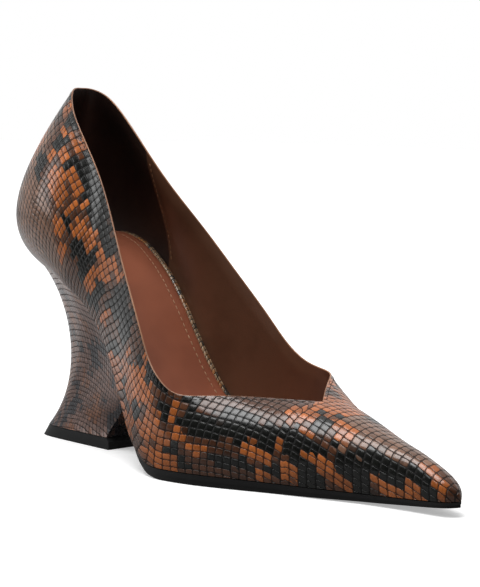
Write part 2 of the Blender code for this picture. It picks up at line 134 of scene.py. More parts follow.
MEDIAL = (
    Rib(1.000, 0.000, 0.978, 0.000, 0.420, 3, 0.40, 72, 0.44),
    Rib(0.990, 0.044, 0.960, 0.000, 0.490, 8, 0.40, 80, 0.46),
    Rib(0.955, 0.092, 0.915, 0.000, 0.615, 9, 0.40, 86, 0.48),
    Rib(0.900, 0.140, 0.870, 0.000, 0.700, 10, 0.42, 90, 0.50),
    Rib(0.840, 0.200, 0.820, 0.002, 0.802, 10, 0.44, 90, 0.52),
    Rib(0.780, 0.270, 0.765, 0.004, 0.915, 10, 0.46, 90, 0.54),
    Rib(0.722, 0.342, 0.713, 0.006, 1.000, 9, 0.46, 91, 0.54),
    Rib(0.675, 0.392, 0.676, 0.143, 1.020, 8, 0.44, 86, 0.50),
    Rib(0.635, 0.430, 0.640, 0.286, 1.036, 7, 0.40, 66, 0.44),
    Rib(0.600, 0.455, 0.611, 0.391, 1.045, 7, 0.36, 36, 0.38),
    Rib(0.565, 0.466, 0.579, 0.442, 1.050, 7, 0.34, 16, 0.36),
    Rib(0.525, 0.465, 0.534, 0.455, 1.067, 7, 0.34, 10, 0.34),
    Rib(0.485, 0.440, 0.492, 0.448, 1.117, 7, 0.34, 6, 0.34),
    Rib(0.440, 0.390, 0.449, 0.415, 1.215, 6, 0.34, 4, 0.34),
    Rib(0.385, 0.335, 0.389, 0.348, 1.363, 6, 0.30, 6, 0.34),
    Rib(0.325, 0.305, 0.326, 0.278, 1.515, 8, 0.30, 8, 0.34),
    Rib(0.260, 0.310, 0.256, 0.212, 1.670, 16, 0.32, 12, 0.36),
    Rib(0.200, 0.328, 0.192, 0.178, 1.815, 28, 0.34, 16, 0.40),
    Rib(0.148, 0.322, 0.141, 0.178, 1.910, 40, 0.35, 20, 0.44),
    Rib(0.088, 0.285, 0.094, 0.173, 1.976, 48, 0.35, 26, 0.46),
    Rib(0.047, 0.170, 0.073, 0.116, 1.998, 53, 0.36, 31, 0.46),
    Rib(0.032, 0.020, 0.075, 0.045, 2.000, 55, 0.36, 34, 0.46),
)

BOTTOM = (
    Level(0.000, 1.000, 1.00, 0.00, 1.00),
    Level(0.090, 0.985, 0.95, 0.00, 0.98),
    Level(0.145, 0.955, 0.85, 0.00, 0.90),
    Level(0.194, 0.905, 0.75, 0.00, 0.72),
    Level(0.243, 0.825, 0.65, 0.00, 0.58),
    Level(0.290, 0.685, 0.60, 0.00, 0.46),
    Level(0.325, 0.525, 0.60, 0.00, 0.42),
    Level(0.360, 0.350, 0.60, 0.00, 0.42),
    Level(0.390, 0.215, 0.65, 0.00, 0.42),
    Level(0.416, 0.134, 0.72, 0.00, 0.42),
    Level(0.460, 0.048, 0.82, 0.00, 0.42),
    Level(0.490, 0.012, 0.95, 0.00, 0.40),
    Level(0.520, 0.000, 1.04, 0.00, 0.40),
    Level(0.600, 0.000, 1.02, 0.00, 0.36),
    Level(0.730, 0.000, 0.90, 0.04, 0.34),
    Level(0.850, 0.000, 0.72, 0.27, 0.32),
    Level(0.930, 0.000, 0.60, 0.60, 0.30),
    Level(1.000, 0.000, 0.52, 1.00, 0.30),
)


class Side(Enum):
    """The two sides of the shoe, with the sign of X on each."""

    LATERAL = -1
    MEDIAL = 1

    @property
    def table(self) -> tuple[Rib, ...]:
        """The side's own table of ribs."""
        return LATERAL if self is Side.LATERAL else MEDIAL


def columns(table: Sequence[Rib], *names: str) -> Array:
    """Named columns of a table, one row for each rib.

    Args:
        table: The ribs of one side.
        names: Names of the columns.

    Returns:
        An array of rows by columns.
    """
    return np.array([[getattr(row, name) for name in names] for row in table])


def unit(vectors: Array) -> Array:
    """Vectors along the last axis divided by their own length."""
    return vectors / np.maximum(np.linalg.norm(vectors, axis=-1, keepdims=True), 1e-12)


def ease(share: Array) -> Array:
    """0 below 0, 1 above 1 and a smooth step between."""
    share = np.clip(share, 0, 1)
    return share * share * (3 - 2 * share)


def walked(line: Array) -> Array:
    """Distance walked along a line of points to each of them."""
    return np.concatenate([[0.0], np.cumsum(np.linalg.norm(np.diff(line, axis=0), axis=1))])


def read(values: Array, run: Array, at: Array) -> Array:
    """Rows of values along a line, read at distances along it by straight lines between rows."""
    return np.stack([np.interp(at, run, column) for column in values.T], axis=1)


def bezier(start: Array, start_hand: Array, end_hand: Array, end: Array, t: Array) -> Array:
    """Cubic curves: the four points weighted by the cubic Bernstein shares of t.

    Args:
        start: Where each curve starts.
        start_hand: The hand that pulls it as it leaves.
        end_hand: The hand that pulls it as it arrives.
        end: Where it ends.
        t: Shares of the way, which broadcast against the points.

    Returns:
        The points at t.
    """
    return (start * (1 - t) ** 3 + start_hand * 3 * t * (1 - t) ** 2
            + end_hand * 3 * t * t * (1 - t) + end * t ** 3)


def steady(knots: Array, values: Array, x: Array) -> Array:
    """Piecewise cubic through the values whose slopes are harmonic means, so it never overshoots.

    Args:
        knots: Rising places of the rows.
        values: The rows' values.
        x: Where the curve is read.

    Returns:
        The curve at x.
    """
    knots = np.asarray(knots, float)
    values = np.asarray(values, float)
    step = np.diff(knots)
    slope = np.diff(values) / step
    before = np.where(slope[:-1] == 0, 1, slope[:-1])
    after = np.where(slope[1:] == 0, 1, slope[1:])
    inner = np.where(slope[:-1] * slope[1:] > 0, 2 / (1 / before + 1 / after), 0.0)
    tangent = np.concatenate([slope[:1], inner, slope[-1:]])
    x = np.clip(x, knots[0], knots[-1])
    k = np.clip(np.searchsorted(knots, x, side="right") - 1, 0, len(step) - 1)
    t = (x - knots[k]) / step[k]
    return ((1 + 2 * t) * (1 - t) ** 2 * values[k] + t * (1 - t) ** 2 * step[k] * tangent[k]
            + t * t * (3 - 2 * t) * values[k + 1] + t * t * (t - 1) * step[k] * tangent[k + 1])


def fair(knots: Array, rows: Array, x: Array) -> Array:
    """Natural cubic spline: its second derivatives solve the usual tridiagonal system.

    Args:
        knots: Rising places of the rows.
        rows: One row of values for each knot.
        x: Where the spline is read.

    Returns:
        One row of values for each x.
    """
    knots = np.asarray(knots, float)
    rows = np.asarray(rows, float)
    step = np.diff(knots)
    size = len(knots)
    system = np.eye(size)
    inner = np.arange(1, size - 1)
    system[inner, inner - 1] = step[:-1]
    system[inner, inner] = 2 * (step[:-1] + step[1:])
    system[inner, inner + 1] = step[1:]
    slope = np.diff(rows, axis=0) / step[:, None]
    right = np.zeros_like(rows)
    right[1:-1] = 6 * np.diff(slope, axis=0)
    bend = np.linalg.solve(system, right)
    k = np.clip(np.searchsorted(knots, x, side="right") - 1, 0, size - 2)
    a = (x - knots[k])[:, None]
    b = (knots[k + 1] - x)[:, None]
    h = step[k][:, None]
    return (bend[k] * b ** 3 / (6 * h) + bend[k + 1] * a ** 3 / (6 * h)
            + (rows[k] / h - bend[k] * h / 6) * b + (rows[k + 1] / h - bend[k + 1] * h / 6) * a)


@dataclass(frozen=True)
class Last:
    """The last that every piece is made on: its sizes, and the surfaces worked out from them."""

    length: float = 0.2465
    ball_width: float = 0.0805
    seat_height: float = 0.0795
    counter_top: float = 0.1555
    throat_height: float = 0.0338
    wall: float = 0.0015
    sole_edge: float = 0.0045
    toe_spring: float = 0.0038
    bed_depth: float = 0.0110
    clearance: float = 0.0003
    toe_end: float = 0.0040
    vamp_steps: int = 72
    quarter_steps: int = 192
    levels: int = 61

    def bottom(self, station: Array, column: str) -> Array:
        """One column of the bottom's table at distances from the heel."""
        knots = np.array([level.at for level in BOTTOM]) * self.length
        return steady(knots, np.array([getattr(level, column) for level in BOTTOM]), station)

    def sole_under(self, station: Array) -> Array:
        """Height of the underside: the heel's pitch plus the toe's spring."""
        pitch = self.bottom(station, "pitch") * (self.seat_height - self.sole_edge)
        return pitch + self.bottom(station, "spring") * self.toe_spring

    def foot_height(self, station: Array) -> Array:
        """Height of the foot of the upper, the top of the sole."""
        return self.sole_under(station) + self.bottom(station, "sole") * self.sole_edge

    def bed_height(self, station: Array) -> Array:
        """Height of the top of the insole at its edge."""
        return self.foot_height(station) + self.bottom(station, "bed") * self.bed_depth

    def row_marks(self) -> Array:
        """Distance along the foot of the upper to each row, the mean of both sides."""
        runs = [walked(columns(side.table, "out", "at") * (self.ball_width, self.length))
                for side in Side]
        return (runs[0] + runs[1]) / 2

    def marks(self) -> Array:
        """Where the fine ribs stand: toe to throat, then throat to the back."""
        rows = self.row_marks()
        vamp = np.linspace(rows[0], rows[THROAT_ROW], self.vamp_steps + 1)
        quarter = np.linspace(rows[THROAT_ROW], rows[-1], self.quarter_steps + 1)
        return np.concatenate([vamp, quarter[1:]])

    def between(self, first: int, second: int) -> Array:
        """0 at the fine ribs ahead of one row, 1 behind another and a smooth step between."""
        start, end = self.row_marks()[[first, second]]
        return ease((self.marks() - start) / (end - start))

    @staticmethod
    def outward(line: Array, side: Side) -> Array:
        """Directions in plan square to a line along one side, pointing out of the shoe.

        Args:
            line: Points in plan from the toe to the heel.
            side: The side that the line runs along.

        Returns:
            Unit directions, straight forward at the toe and straight back at the heel.
        """
        walk = np.gradient(line, axis=0)
        out = unit(np.stack([-walk[:, 1], walk[:, 0]], axis=1) * -side.value)
        out[0] = 0.0, -1.0
        out[-1] = 0.0, 1.0
        return out

    def top_edge(self, side: Side) -> Array:
        """Points of the upper's edge: the middle of the vamp up to the throat, then the topline."""
        rows_at = self.row_marks()
        at = self.marks()
        rows = columns(side.table, "edge_out", "edge_at", "rise")
        split = self.vamp_steps + 1
        vamp = fair(rows_at[:THROAT_ROW + 1], rows[:THROAT_ROW + 1], at[:split])
        topline = fair(rows_at[THROAT_ROW:], rows[THROAT_ROW:], at[split:])
        edge_out, edge_at, rise = np.concatenate([vamp, topline]).T
        above = self.throat_height + (rise - 1) * (self.counter_top - self.throat_height)
        height = np.where(rise <= 1, rise * self.throat_height, above)
        return np.stack([side.value * edge_out * self.ball_width, -edge_at * self.length, height], axis=1)

    def wall_grid(self, side: Side, levels: Optional[int] = None) -> Array:
        """The wall on one side: each rib is a cubic curve that leaves both ends at its leans.

        Args:
            side: The side of the shoe.
            levels: How many points each rib has, or None for the last's own number.

        Returns:
            Points, ribs by levels by x, y, z.
        """
        rows_at = self.row_marks()
        at = self.marks()
        table = side.table
        foot_at, foot_out = (fair(rows_at, columns(table, "at", "out"), at)
                             * (self.length, self.ball_width)).T
        foot = np.stack([side.value * foot_out, -foot_at, self.foot_height(foot_at)], axis=1)
        top = self.top_edge(side)
        names = ("low", "low_reach", "top", "top_reach")
        low, low_reach, high, top_reach = (steady(rows_at, columns(table, name)[:, 0], at)
                                           for name in names)
        span = np.linalg.norm(top - foot, axis=1)
        low_hand = (span * low_reach)[:, None]
        top_hand = (span * top_reach)[:, None]
        low = np.radians(low)[:, None]
        high = np.radians(high)[:, None]
        out = self.outward(foot[:, :2], side)
        across = unit(foot[:, :2] - top[:, :2])
        opened = self.between(THROAT_ROW, OPEN_ROW)[:, None]
        lean = unit(across * (1 - opened) + out * opened)
        forward, climb = np.gradient(top[:self.vamp_steps + 1, 1:], axis=0).T
        fall = climb / np.minimum(-forward, -1e-6)
        fall = np.append(fall, np.full(len(at) - len(fall), fall[-1]))[:, None] * (1 - opened)
        lift = np.concatenate([out * np.sin(low), np.cos(low)], axis=1) * low_hand
        drop = -np.cos(high) - fall * lean[:, 1:]
        fold = np.concatenate([lean * np.sin(high), drop], axis=1) * top_hand
        t = np.linspace(0, 1, levels or self.levels)[None, :, None]
        return bezier(foot[:, None], (foot + lift)[:, None], (top + fold)[:, None], top[:, None], t)

    @staticmethod
    def wall_line(wall: Array, heights: Array) -> Array:
        """Where each rib of a wall passes a height, by straight lines between its levels.

        Args:
            wall: Points, ribs by levels by x, y, z.
            heights: One height for each rib.

        Returns:
            Points in plan, one for each rib.
        """
        height = wall[..., 2]
        k = np.clip((height < heights[:, None]).sum(axis=1) - 1, 0, wall.shape[1] - 2)
        rib = np.arange(len(wall))
        low = wall[rib, k]
        high = wall[rib, k + 1]
        share = np.clip((heights - low[:, 2]) / (high[:, 2] - low[:, 2]), 0, 1)[:, None]
        return low[:, :2] * (1 - share) + high[:, :2] * share

    def contour(self, side: Side, heights: Array, depth: float, inset: Union[float, Array]) -> Array:
        """The wall's line at given heights, moved inwards.

        Args:
            side: The side of the shoe.
            heights: One height for each rib.
            depth: How far in, measured square to the wall.
            inset: How far in besides, measured level.

        Returns:
            Points in plan, one for each rib.
        """
        wall = self.wall_grid(side)
        line = self.wall_line(wall, heights)
        step = 0.001
        lean = np.linalg.norm(self.wall_line(wall, heights + step) - line, axis=1) / step
        return line - self.outward(line, side) * (depth * np.hypot(1, lean) + inset)[:, None]

    def bed_heights(self, side: Side, lift: float) -> Array:
        """Height at each rib's foot plus a share of the bed's thickness there."""
        foot = self.wall_grid(side, 2)[:, 0]
        return foot[:, 2] + self.bottom(-foot[:, 1], "bed") * self.bed_depth * lift

    def plan_lines(self, lift: float, depth: float, inset: float) -> tuple[Array, Array]:
        """Both sides' contours at a share of the bed's thickness, as (lateral, medial)."""
        lateral, medial = (self.contour(side, self.bed_heights(side, lift), depth, inset) for side in Side)
        return lateral, medial

    def rows_past_toe(self, lateral: Array, medial: Array) -> int:
        """Index of the first row where the two lines are far enough apart to be a real edge."""
        return int(np.argmax(medial[:, 0] - lateral[:, 0] > self.toe_end))


class Skin(NamedTuple):
    """One grid of a piece: points and map, rows by columns, and the finish of its faces."""

    points: Array
    uv: Array
    finish: int = 0


@dataclass(frozen=True)
class Placement:
    """Moves the shoe's own axes onto the frame's, so that the outlines of the uppers agree."""

    x: float
    y: float

    @classmethod
    def on_frame(cls, last: Last) -> "Placement":
        """Centres the last's wall on the box of the frame's upper, in plan.

        Args:
            last: The last that the shoe is made on.

        Returns:
            The placement that every piece shares.
        """
        wall = np.concatenate([last.wall_grid(side).reshape(-1, 3) for side in Side])
        low, high = (np.array(corner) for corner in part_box("upper"))
        shift = (low + high) / 2 - (wall.min(axis=0) + wall.max(axis=0)) / 2
        return cls(float(shift[0]), float(shift[1]))

    def place(self, points: Array) -> Array:
        """Points in the shoe's own axes, moved into the frame's."""
        return points + np.array([self.x, self.y, 0.0])


def stand(name: str, data: bpy.types.ID, turned: Optional[Array] = None,
          place: Sequence[float] = (0.0, 0.0, 0.0)) -> bpy.types.Object:
    """Puts a mesh, lamp or camera into the scene as an object.

    Args:
        name: Name of the object.
        data: What it shows.
        turned: Its right, up and backward directions as columns, or None to leave it at the origin.
        place: Where it stands, where it is turned.

    Returns:
        The object.
    """
    made = bpy.data.objects.new(name, data)
    if turned is not None:
        rows = [[*row, float(step)] for row, step in zip(turned.tolist(), place)]
        made.matrix_world = Matrix(rows + [[0.0, 0.0, 0.0, 1.0]])
    bpy.context.scene.collection.objects.link(made)
    return made


def build_piece(name: str, skins: Sequence[Skin], finishes: Sequence[bpy.types.Material],
                placement: Placement, sharp: float) -> bpy.types.Object:
    """Joins grids into one closed, smooth-shaded mesh whose place is in its points.

    Args:
        name: Name of the piece.
        skins: Grids whose borders meet.
        finishes: Materials that the skins' finish numbers point to.
        placement: Where the shoe stands in the frame.
        sharp: Angle in degrees past which an edge shows as sharp.

    Returns:
        The piece, linked to the scene.
    """
    points = np.concatenate([skin.points.reshape(-1, 3) for skin in skins])
    uv = np.concatenate([skin.uv.reshape(-1, 2) for skin in skins])
    quads = []
    numbers = []
    start = 0
    for skin in skins:
        rows, width = skin.points.shape[:2]
        index = start + np.arange(rows * width).reshape(rows, width)
        corners = (index[:-1, :-1], index[:-1, 1:], index[1:, 1:], index[1:, :-1])
        quads.append(np.stack(corners, axis=-1).reshape(-1, 4))
        numbers.append(np.full((rows - 1) * (width - 1), skin.finish))
        start += rows * width
    faces = np.concatenate(quads)
    mesh = bpy.data.meshes.new(name)
    mesh.from_pydata(placement.place(points).tolist(), [], faces.tolist())
    mesh.uv_layers.new(name="map").data.foreach_set("uv", uv[faces.ravel()].astype(np.float32).ravel())
    mesh.polygons.foreach_set("material_index", np.concatenate(numbers).astype(np.int32))
    for finish in finishes:
        mesh.materials.append(finish)
    work = bmesh.new()
    work.from_mesh(mesh)
    bmesh.ops.remove_doubles(work, verts=work.verts, dist=SAME_POINT)
    bmesh.ops.dissolve_degenerate(work, edges=work.edges, dist=NO_EDGE)
    bmesh.ops.recalc_face_normals(work, faces=work.faces)
    work.to_mesh(mesh)
    work.free()
    mesh.shade_smooth()
    mesh.set_sharp_from_angle(angle=np.radians(sharp))
    return stand(name, mesh)


def deliver(piece: bpy.types.Object, slot: str, *nodes: str) -> None:
    """Seats a piece on the shoe's body, hides the frame nodes that it replaces and logs its slot.

    Args:
        piece: The finished piece.
        slot: The record's material slot.
        nodes: Frame nodes that the piece replaces.
    """
    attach(piece, "root")
    if nodes:
        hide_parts(*nodes)
    log.info("%s: %d faces, slot %s", piece.name, len(piece.data.polygons), slot)


def closed_rows(grid: Array) -> Array:
    """A grid with its first row repeated at the end, so that it closes on itself."""
    return np.concatenate([grid, grid[:1]])


def rim(grid: Array) -> Array:
    """The border of a grid as one ring, closed on its first point."""
    ring = np.concatenate([grid[:-1, 0], grid[-1, :-1], grid[:0:-1, -1], grid[0, :0:-1]])
    return closed_rows(ring)


def side_map(side: Array, cell: float, turn: float) -> Array:
    """Map of a slab's side: distance round it and distance down it, in scales, then turned.

    Args:
        side: Points, rings by places round.
        cell: Size of one scale.
        turn: Angle of the rows of scales in degrees.

    Returns:
        Map coordinates, rings by places round.
    """
    around = np.mean([walked(ring) for ring in side[::RING_SAMPLE]], axis=0)
    steps = np.linalg.norm(np.diff(side, axis=0), axis=2)
    down = np.concatenate([np.zeros((1, side.shape[1])), np.cumsum(steps, axis=0)])
    u = np.broadcast_to(around, down.shape) / cell
    v = down / cell
    angle = np.radians(turn)
    return np.stack([u * np.cos(angle) - v * np.sin(angle), u * np.sin(angle) + v * np.cos(angle)], axis=2)


@dataclass(frozen=True)
class Bed:
    """Sheets that lie on the last's bottom between the two sides, such as insole and sock."""

    last: Last
    ball_dish: float = 0.0015
    across: int = 24

    def sheet(self, lateral: Array, medial: Array, height: Callable[[Array], Array], dish: float) -> Array:
        """A grid between two lines, whose middle sinks by the dish times its own width.

        Args:
            lateral: Line in plan along the outer side.
            medial: Line in plan along the inner side.
            height: Height as a function of the distance from the heel.
            dish: How far the middle of a full-width row sinks.

        Returns:
            Points, rows from the toe to the heel by columns from the outer to the inner side.
        """
        share = np.linspace(0, 1, self.across + 1)[None, :, None]
        plan = lateral[:, None] * (1 - share) + medial[:, None] * share
        width = np.linalg.norm(medial - lateral, axis=1)[:, None] / self.last.ball_width
        sink = dish * width * (4 * share * (1 - share))[..., 0]
        return np.concatenate([plan, (height(-plan[..., 1]) - sink)[..., None]], axis=2)

    def map(self, grid: Array, cell: float) -> Array:
        """Map of a sheet: distance along it and in from its nearer edge, in cells of one size."""
        along = walked(grid[:, self.across // 2])[:, None] / cell
        width = np.linalg.norm(grid[:, -1] - grid[:, 0], axis=1)[:, None]
        share = np.linspace(0, 1, self.across + 1)[None]
        inward = np.minimum(share, 1 - share) * width / cell
        return np.stack([np.broadcast_to(along, inward.shape), inward], axis=2)

    def slab(self, top: Array, base: Array, rings: Sequence[Array], cell: float = PLAIN_CELL,
             turn: float = 0.0) -> list[Skin]:
        """A closed body: a top grid, a base grid and a side drawn through the rings between them.

        Args:
            top: Points of the top, rows by columns.
            base: Points of the base, rows by columns.
            rings: Closed rings between the two borders, from the top down.
            cell: Size of one cell of the maps.
            turn: Angle of the side's rows of cells in degrees.

        Returns:
            The skins of the top, the side and the base.
        """
        side = np.stack([rim(top), *rings, rim(base)])
        return [Skin(top, self.map(top, cell)), Skin(side, side_map(side, cell, turn)),
                Skin(base, np.zeros(base.shape[:2] + (2,)))]


class Value:
    """A shader socket that takes part in Python expressions. Each operation adds its Math node."""

    def __init__(self, graph: "Graph", socket: bpy.types.NodeSocket) -> None:
        """Wraps a socket of a graph.

        Args:
            graph: The graph that owns the socket.
            socket: An output socket.
        """
        self.graph = graph
        self.socket = socket

    def math(self, operation: str, *others: "Source") -> "Value":
        """A Math node on this value and others."""
        return self.graph.node("ShaderNodeMath", {"operation": operation}, dict(enumerate((self, *others))))

    def __add__(self, other: "Source") -> "Value":
        """Sum."""
        return self.math("ADD", other)

    __radd__ = __add__

    def __sub__(self, other: "Source") -> "Value":
        """Difference."""
        return self.math("SUBTRACT", other)

    def __rsub__(self, other: "Source") -> "Value":
        """Difference from a number."""
        return self.math("MULTIPLY_ADD", -1.0, other)

    def __mul__(self, other: "Source") -> "Value":
        """Product."""
        return self.math("MULTIPLY", other)

    __rmul__ = __mul__

    def __pow__(self, other: "Source") -> "Value":
        """Power."""
        return self.math("POWER", other)

    def __abs__(self) -> "Value":
        """Absolute value."""
        return self.math("ABSOLUTE")

    def least(self, other: "Source") -> "Value":
        """The smaller of two values."""
        return self.math("MINIMUM", other)

    def most(self, other: "Source") -> "Value":
        """The larger of two values."""
        return self.math("MAXIMUM", other)

    def ease(self, low: float, high: float) -> "Value":
        """0 below low, 1 above high and a smooth step between, falling where low is the larger."""
        rising = low < high
        ends = {1: min(low, high), 2: max(low, high), 3: 0.0 if rising else 1.0, 4: 1.0 if rising else 0.0}
        return self.graph.node("ShaderNodeMapRange", {"interpolation_type": "SMOOTHSTEP"}, {0: self, **ends})


Source = Union[Value, float, Sequence[float]]


class Grain(NamedTuple):
    """A soft noise: how fine it is, how many finer layers it has and how strong they are."""

    scale: float
    detail: float = 2.0
    rough: float = 0.5


class Graph:
    """The nodes of one tree, a material's or the world's."""

    def __init__(self, tree: bpy.types.NodeTree) -> None:
        """Works on a tree that is there already."""
        self.tree = tree

    def node(self, kind: str, settings: Mapping[str, object], sockets: Mapping[Union[int, str], "Source"],
             output: Union[int, str] = 0) -> Value:
        """Adds a node: its settings are set first, then its sockets are given values or links.

        Args:
            kind: The node's type.
            settings: Properties such as an operation.
            sockets: Values or links of its input sockets.
            output: Which output the result wraps.

        Returns:
            The chosen output.
        """
        made = self.tree.nodes.new(kind)
        for name, setting in settings.items():
            setattr(made, name, setting)
        for key, source in sockets.items():
            self.feed(made.inputs[key], source)
        return Value(self, made.outputs[output])

    def feed(self, socket: bpy.types.NodeSocket, source: "Source") -> None:
        """Links a value into a socket, or sets the socket to a constant."""
        if isinstance(source, Value):
            self.tree.links.new(source.socket, socket)
        else:
            socket.default_value = source

    def vector(self, operation: str, *sources: "Source", output: Union[int, str] = 0) -> Value:
        """A Vector Math node on vectors."""
        return self.node("ShaderNodeVectorMath", {"operation": operation}, dict(enumerate(sources)), output)

    def blend(self, share: "Source", first: "Source", second: "Source", how: str = "MIX") -> Value:
        """Mixes two colours by a share."""
        settings = {"data_type": "RGBA", "blend_type": how}
        return self.node("ShaderNodeMix", settings, {0: share, 6: first, 7: second}, 2)

    def grey(self, level: Value) -> Value:
        """One number as a grey colour."""
        return self.node("ShaderNodeCombineColor", {}, {0: level, 1: level, 2: level})

    def noise(self, place: Value, grain: Grain, output: Union[int, str] = 0) -> Value:
        """Soft noise at a place."""
        sockets = {"Vector": place, "Scale": grain.scale, "Detail": grain.detail, "Roughness": grain.rough}
        return self.node("ShaderNodeTexNoise", {}, sockets, output)

    def part(self, source: Value, axis: int) -> Value:
        """One number of a vector."""
        return self.node("ShaderNodeSeparateXYZ", {}, {0: source}, axis)

    def uv(self) -> Value:
        """The piece's own map."""
        return self.node("ShaderNodeUVMap", {"uv_map": "map"}, {})

    def place(self) -> Value:
        """Object coordinates."""
        return self.node("ShaderNodeTexCoord", {}, {}, "Object")

    def place_of_light(self) -> Value:
        """In a world's tree, the direction that light comes from."""
        return self.node("ShaderNodeTexCoord", {}, {}, "Generated")

    def camera_ray(self) -> Value:
        """1 for what the camera sees straight, 0 for what only lights the shoe."""
        return self.node("ShaderNodeLightPath", {}, {}, "Is Camera Ray")

    def bump(self, height: Value, depth: float, strength: float = 1.0) -> Value:
        """A Bump node with a real depth in metres."""
        return self.node("ShaderNodeBump", {}, {"Height": height, "Distance": depth, "Strength": strength})


class MaterialGraph(Graph):
    """The nodes of one new material, ending in its Principled shader."""

    def __init__(self, name: str) -> None:
        """Starts the material by its name."""
        self.material = bpy.data.materials.new(name)
        self.material.use_nodes = True
        super().__init__(self.material.node_tree)
        self.shader = self.tree.nodes["Principled BSDF"]

    def finish(self, **inputs: "Source") -> bpy.types.Material:
        """Feeds the Principled shader and returns the material.

        Args:
            inputs: Values or links, with spaces in the sockets' names written as underscores.

        Returns:
            The finished material.
        """
        for name, source in inputs.items():
            self.feed(self.shader.inputs[name.replace("_", " ")], source)
        return self.material


def rgb(red: int, green: int, blue: int) -> tuple[float, float, float, float]:
    """A display colour of 0 to 255 as the linear colour that a shader takes."""
    share = np.array([red, green, blue]) / 255
    linear = np.where(share <= 0.04045, share / 12.92, ((share + 0.055) / 1.055) ** 2.4)
    return (float(linear[0]), float(linear[1]), float(linear[2]), 1.0)


# The middle of a map's cell, and of a noise's colours.
HALVES = (0.5, 0.5, 0.5)


class Patch(NamedTuple):
    """A blotch of the hide's colour or of painted sheen, in scales along the shoe and down from its top edge.
    """

    along: float
    down: float
    long: float
    tall: float


class Blotch(NamedTuple):
    """A blotch read off the photo: its middle and half sizes in pixels of its frame."""

    x: float
    y: float
    half_wide: float
    half_tall: float


DARK_BLOTCHES = (
    Blotch(70, 118, 5, 10), Blotch(60, 145, 10, 5), Blotch(40, 167, 7, 6), Blotch(66, 168, 5, 8),
    Blotch(90, 185, 9, 35), Blotch(101, 218, 9, 25), Blotch(66, 225, 4, 12), Blotch(78, 245, 11, 8),
    Blotch(86, 262, 13, 9), Blotch(110, 250, 6, 12), Blotch(95, 289, 12, 4), Blotch(118, 300, 13, 11),
    Blotch(125, 325, 9, 13), Blotch(112, 352, 6, 13), Blotch(136, 367, 7, 8), Blotch(148, 377, 7, 5),
    Blotch(123, 388, 4, 8), Blotch(133, 412, 7, 12), Blotch(163, 410, 8, 13), Blotch(160, 386, 7, 5),
    Blotch(192, 400, 12, 6), Blotch(197, 425, 22, 13), Blotch(245, 432, 40, 14), Blotch(170, 447, 5, 6),
    Blotch(183, 462, 6, 7), Blotch(225, 460, 18, 5), Blotch(250, 466, 13, 6), Blotch(272, 465, 5, 11),
    Blotch(310, 478, 20, 9), Blotch(300, 449, 32, 5), Blotch(352, 478, 20, 13), Blotch(385, 470, 28, 7),
    Blotch(420, 480, 22, 6), Blotch(430, 494, 11, 5), Blotch(326, 415, 8, 16), Blotch(336, 437, 8, 7),
)
TAN_BLOTCHES = (
    Blotch(76, 145, 3, 11), Blotch(64, 131, 4, 4), Blotch(64, 157, 8, 4), Blotch(52, 153, 5, 5),
    Blotch(75, 180, 3, 14), Blotch(80, 190, 4, 6), Blotch(74, 203, 4, 6), Blotch(84, 205, 3, 3),
    Blotch(56, 188, 5, 24), Blotch(66, 212, 3, 6), Blotch(78, 229, 9, 4), Blotch(90, 240, 9, 7),
    Blotch(101, 254, 4, 9), Blotch(62, 252, 3, 12), Blotch(58, 228, 6, 8), Blotch(105, 272, 12, 5),
    Blotch(90, 280, 8, 4), Blotch(119, 278, 3, 8), Blotch(128, 352, 4, 6), Blotch(118, 382, 4, 12),
    Blotch(124, 432, 6, 34), Blotch(147, 425, 6, 30), Blotch(161, 442, 8, 12), Blotch(173, 411, 5, 8),
    Blotch(178, 435, 9, 5), Blotch(150, 392, 5, 5), Blotch(158, 459, 20, 5), Blotch(195, 450, 12, 4),
    Blotch(258, 454, 20, 3), Blotch(278, 447, 7, 5), Blotch(288, 470, 5, 13), Blotch(262, 476, 8, 4),
    Blotch(306, 455, 8, 4), Blotch(322, 463, 12, 4), Blotch(334, 474, 7, 8), Blotch(344, 486, 7, 5),
    Blotch(388, 489, 16, 5), Blotch(415, 496, 12, 4), Blotch(441, 487, 11, 8), Blotch(292, 414, 4, 12),
    Blotch(309, 412, 4, 11), Blotch(304, 430, 5, 7), Blotch(335, 405, 3, 12), Blotch(345, 430, 4, 13),
    Blotch(430, 470, 10, 4), Blotch(112, 372, 4, 26), Blotch(124, 368, 5, 5), Blotch(133, 384, 13, 4),
    Blotch(142, 392, 5, 16), Blotch(116, 400, 5, 10), Blotch(96, 335, 4, 9), Blotch(104, 318, 5, 5),
)
# Pale blotches are painted sheen: a painted highlight on the counter's back edge and on the top of the vamp,
# where the glossy leather catches light.
PAINTED_SHEEN_BLOTCHES = (
    Blotch(28, 190, 9, 60), Blotch(48, 112, 14, 24), Blotch(42, 245, 20, 24), Blotch(372, 428, 50, 30),
    Blotch(420, 458, 30, 14),
)


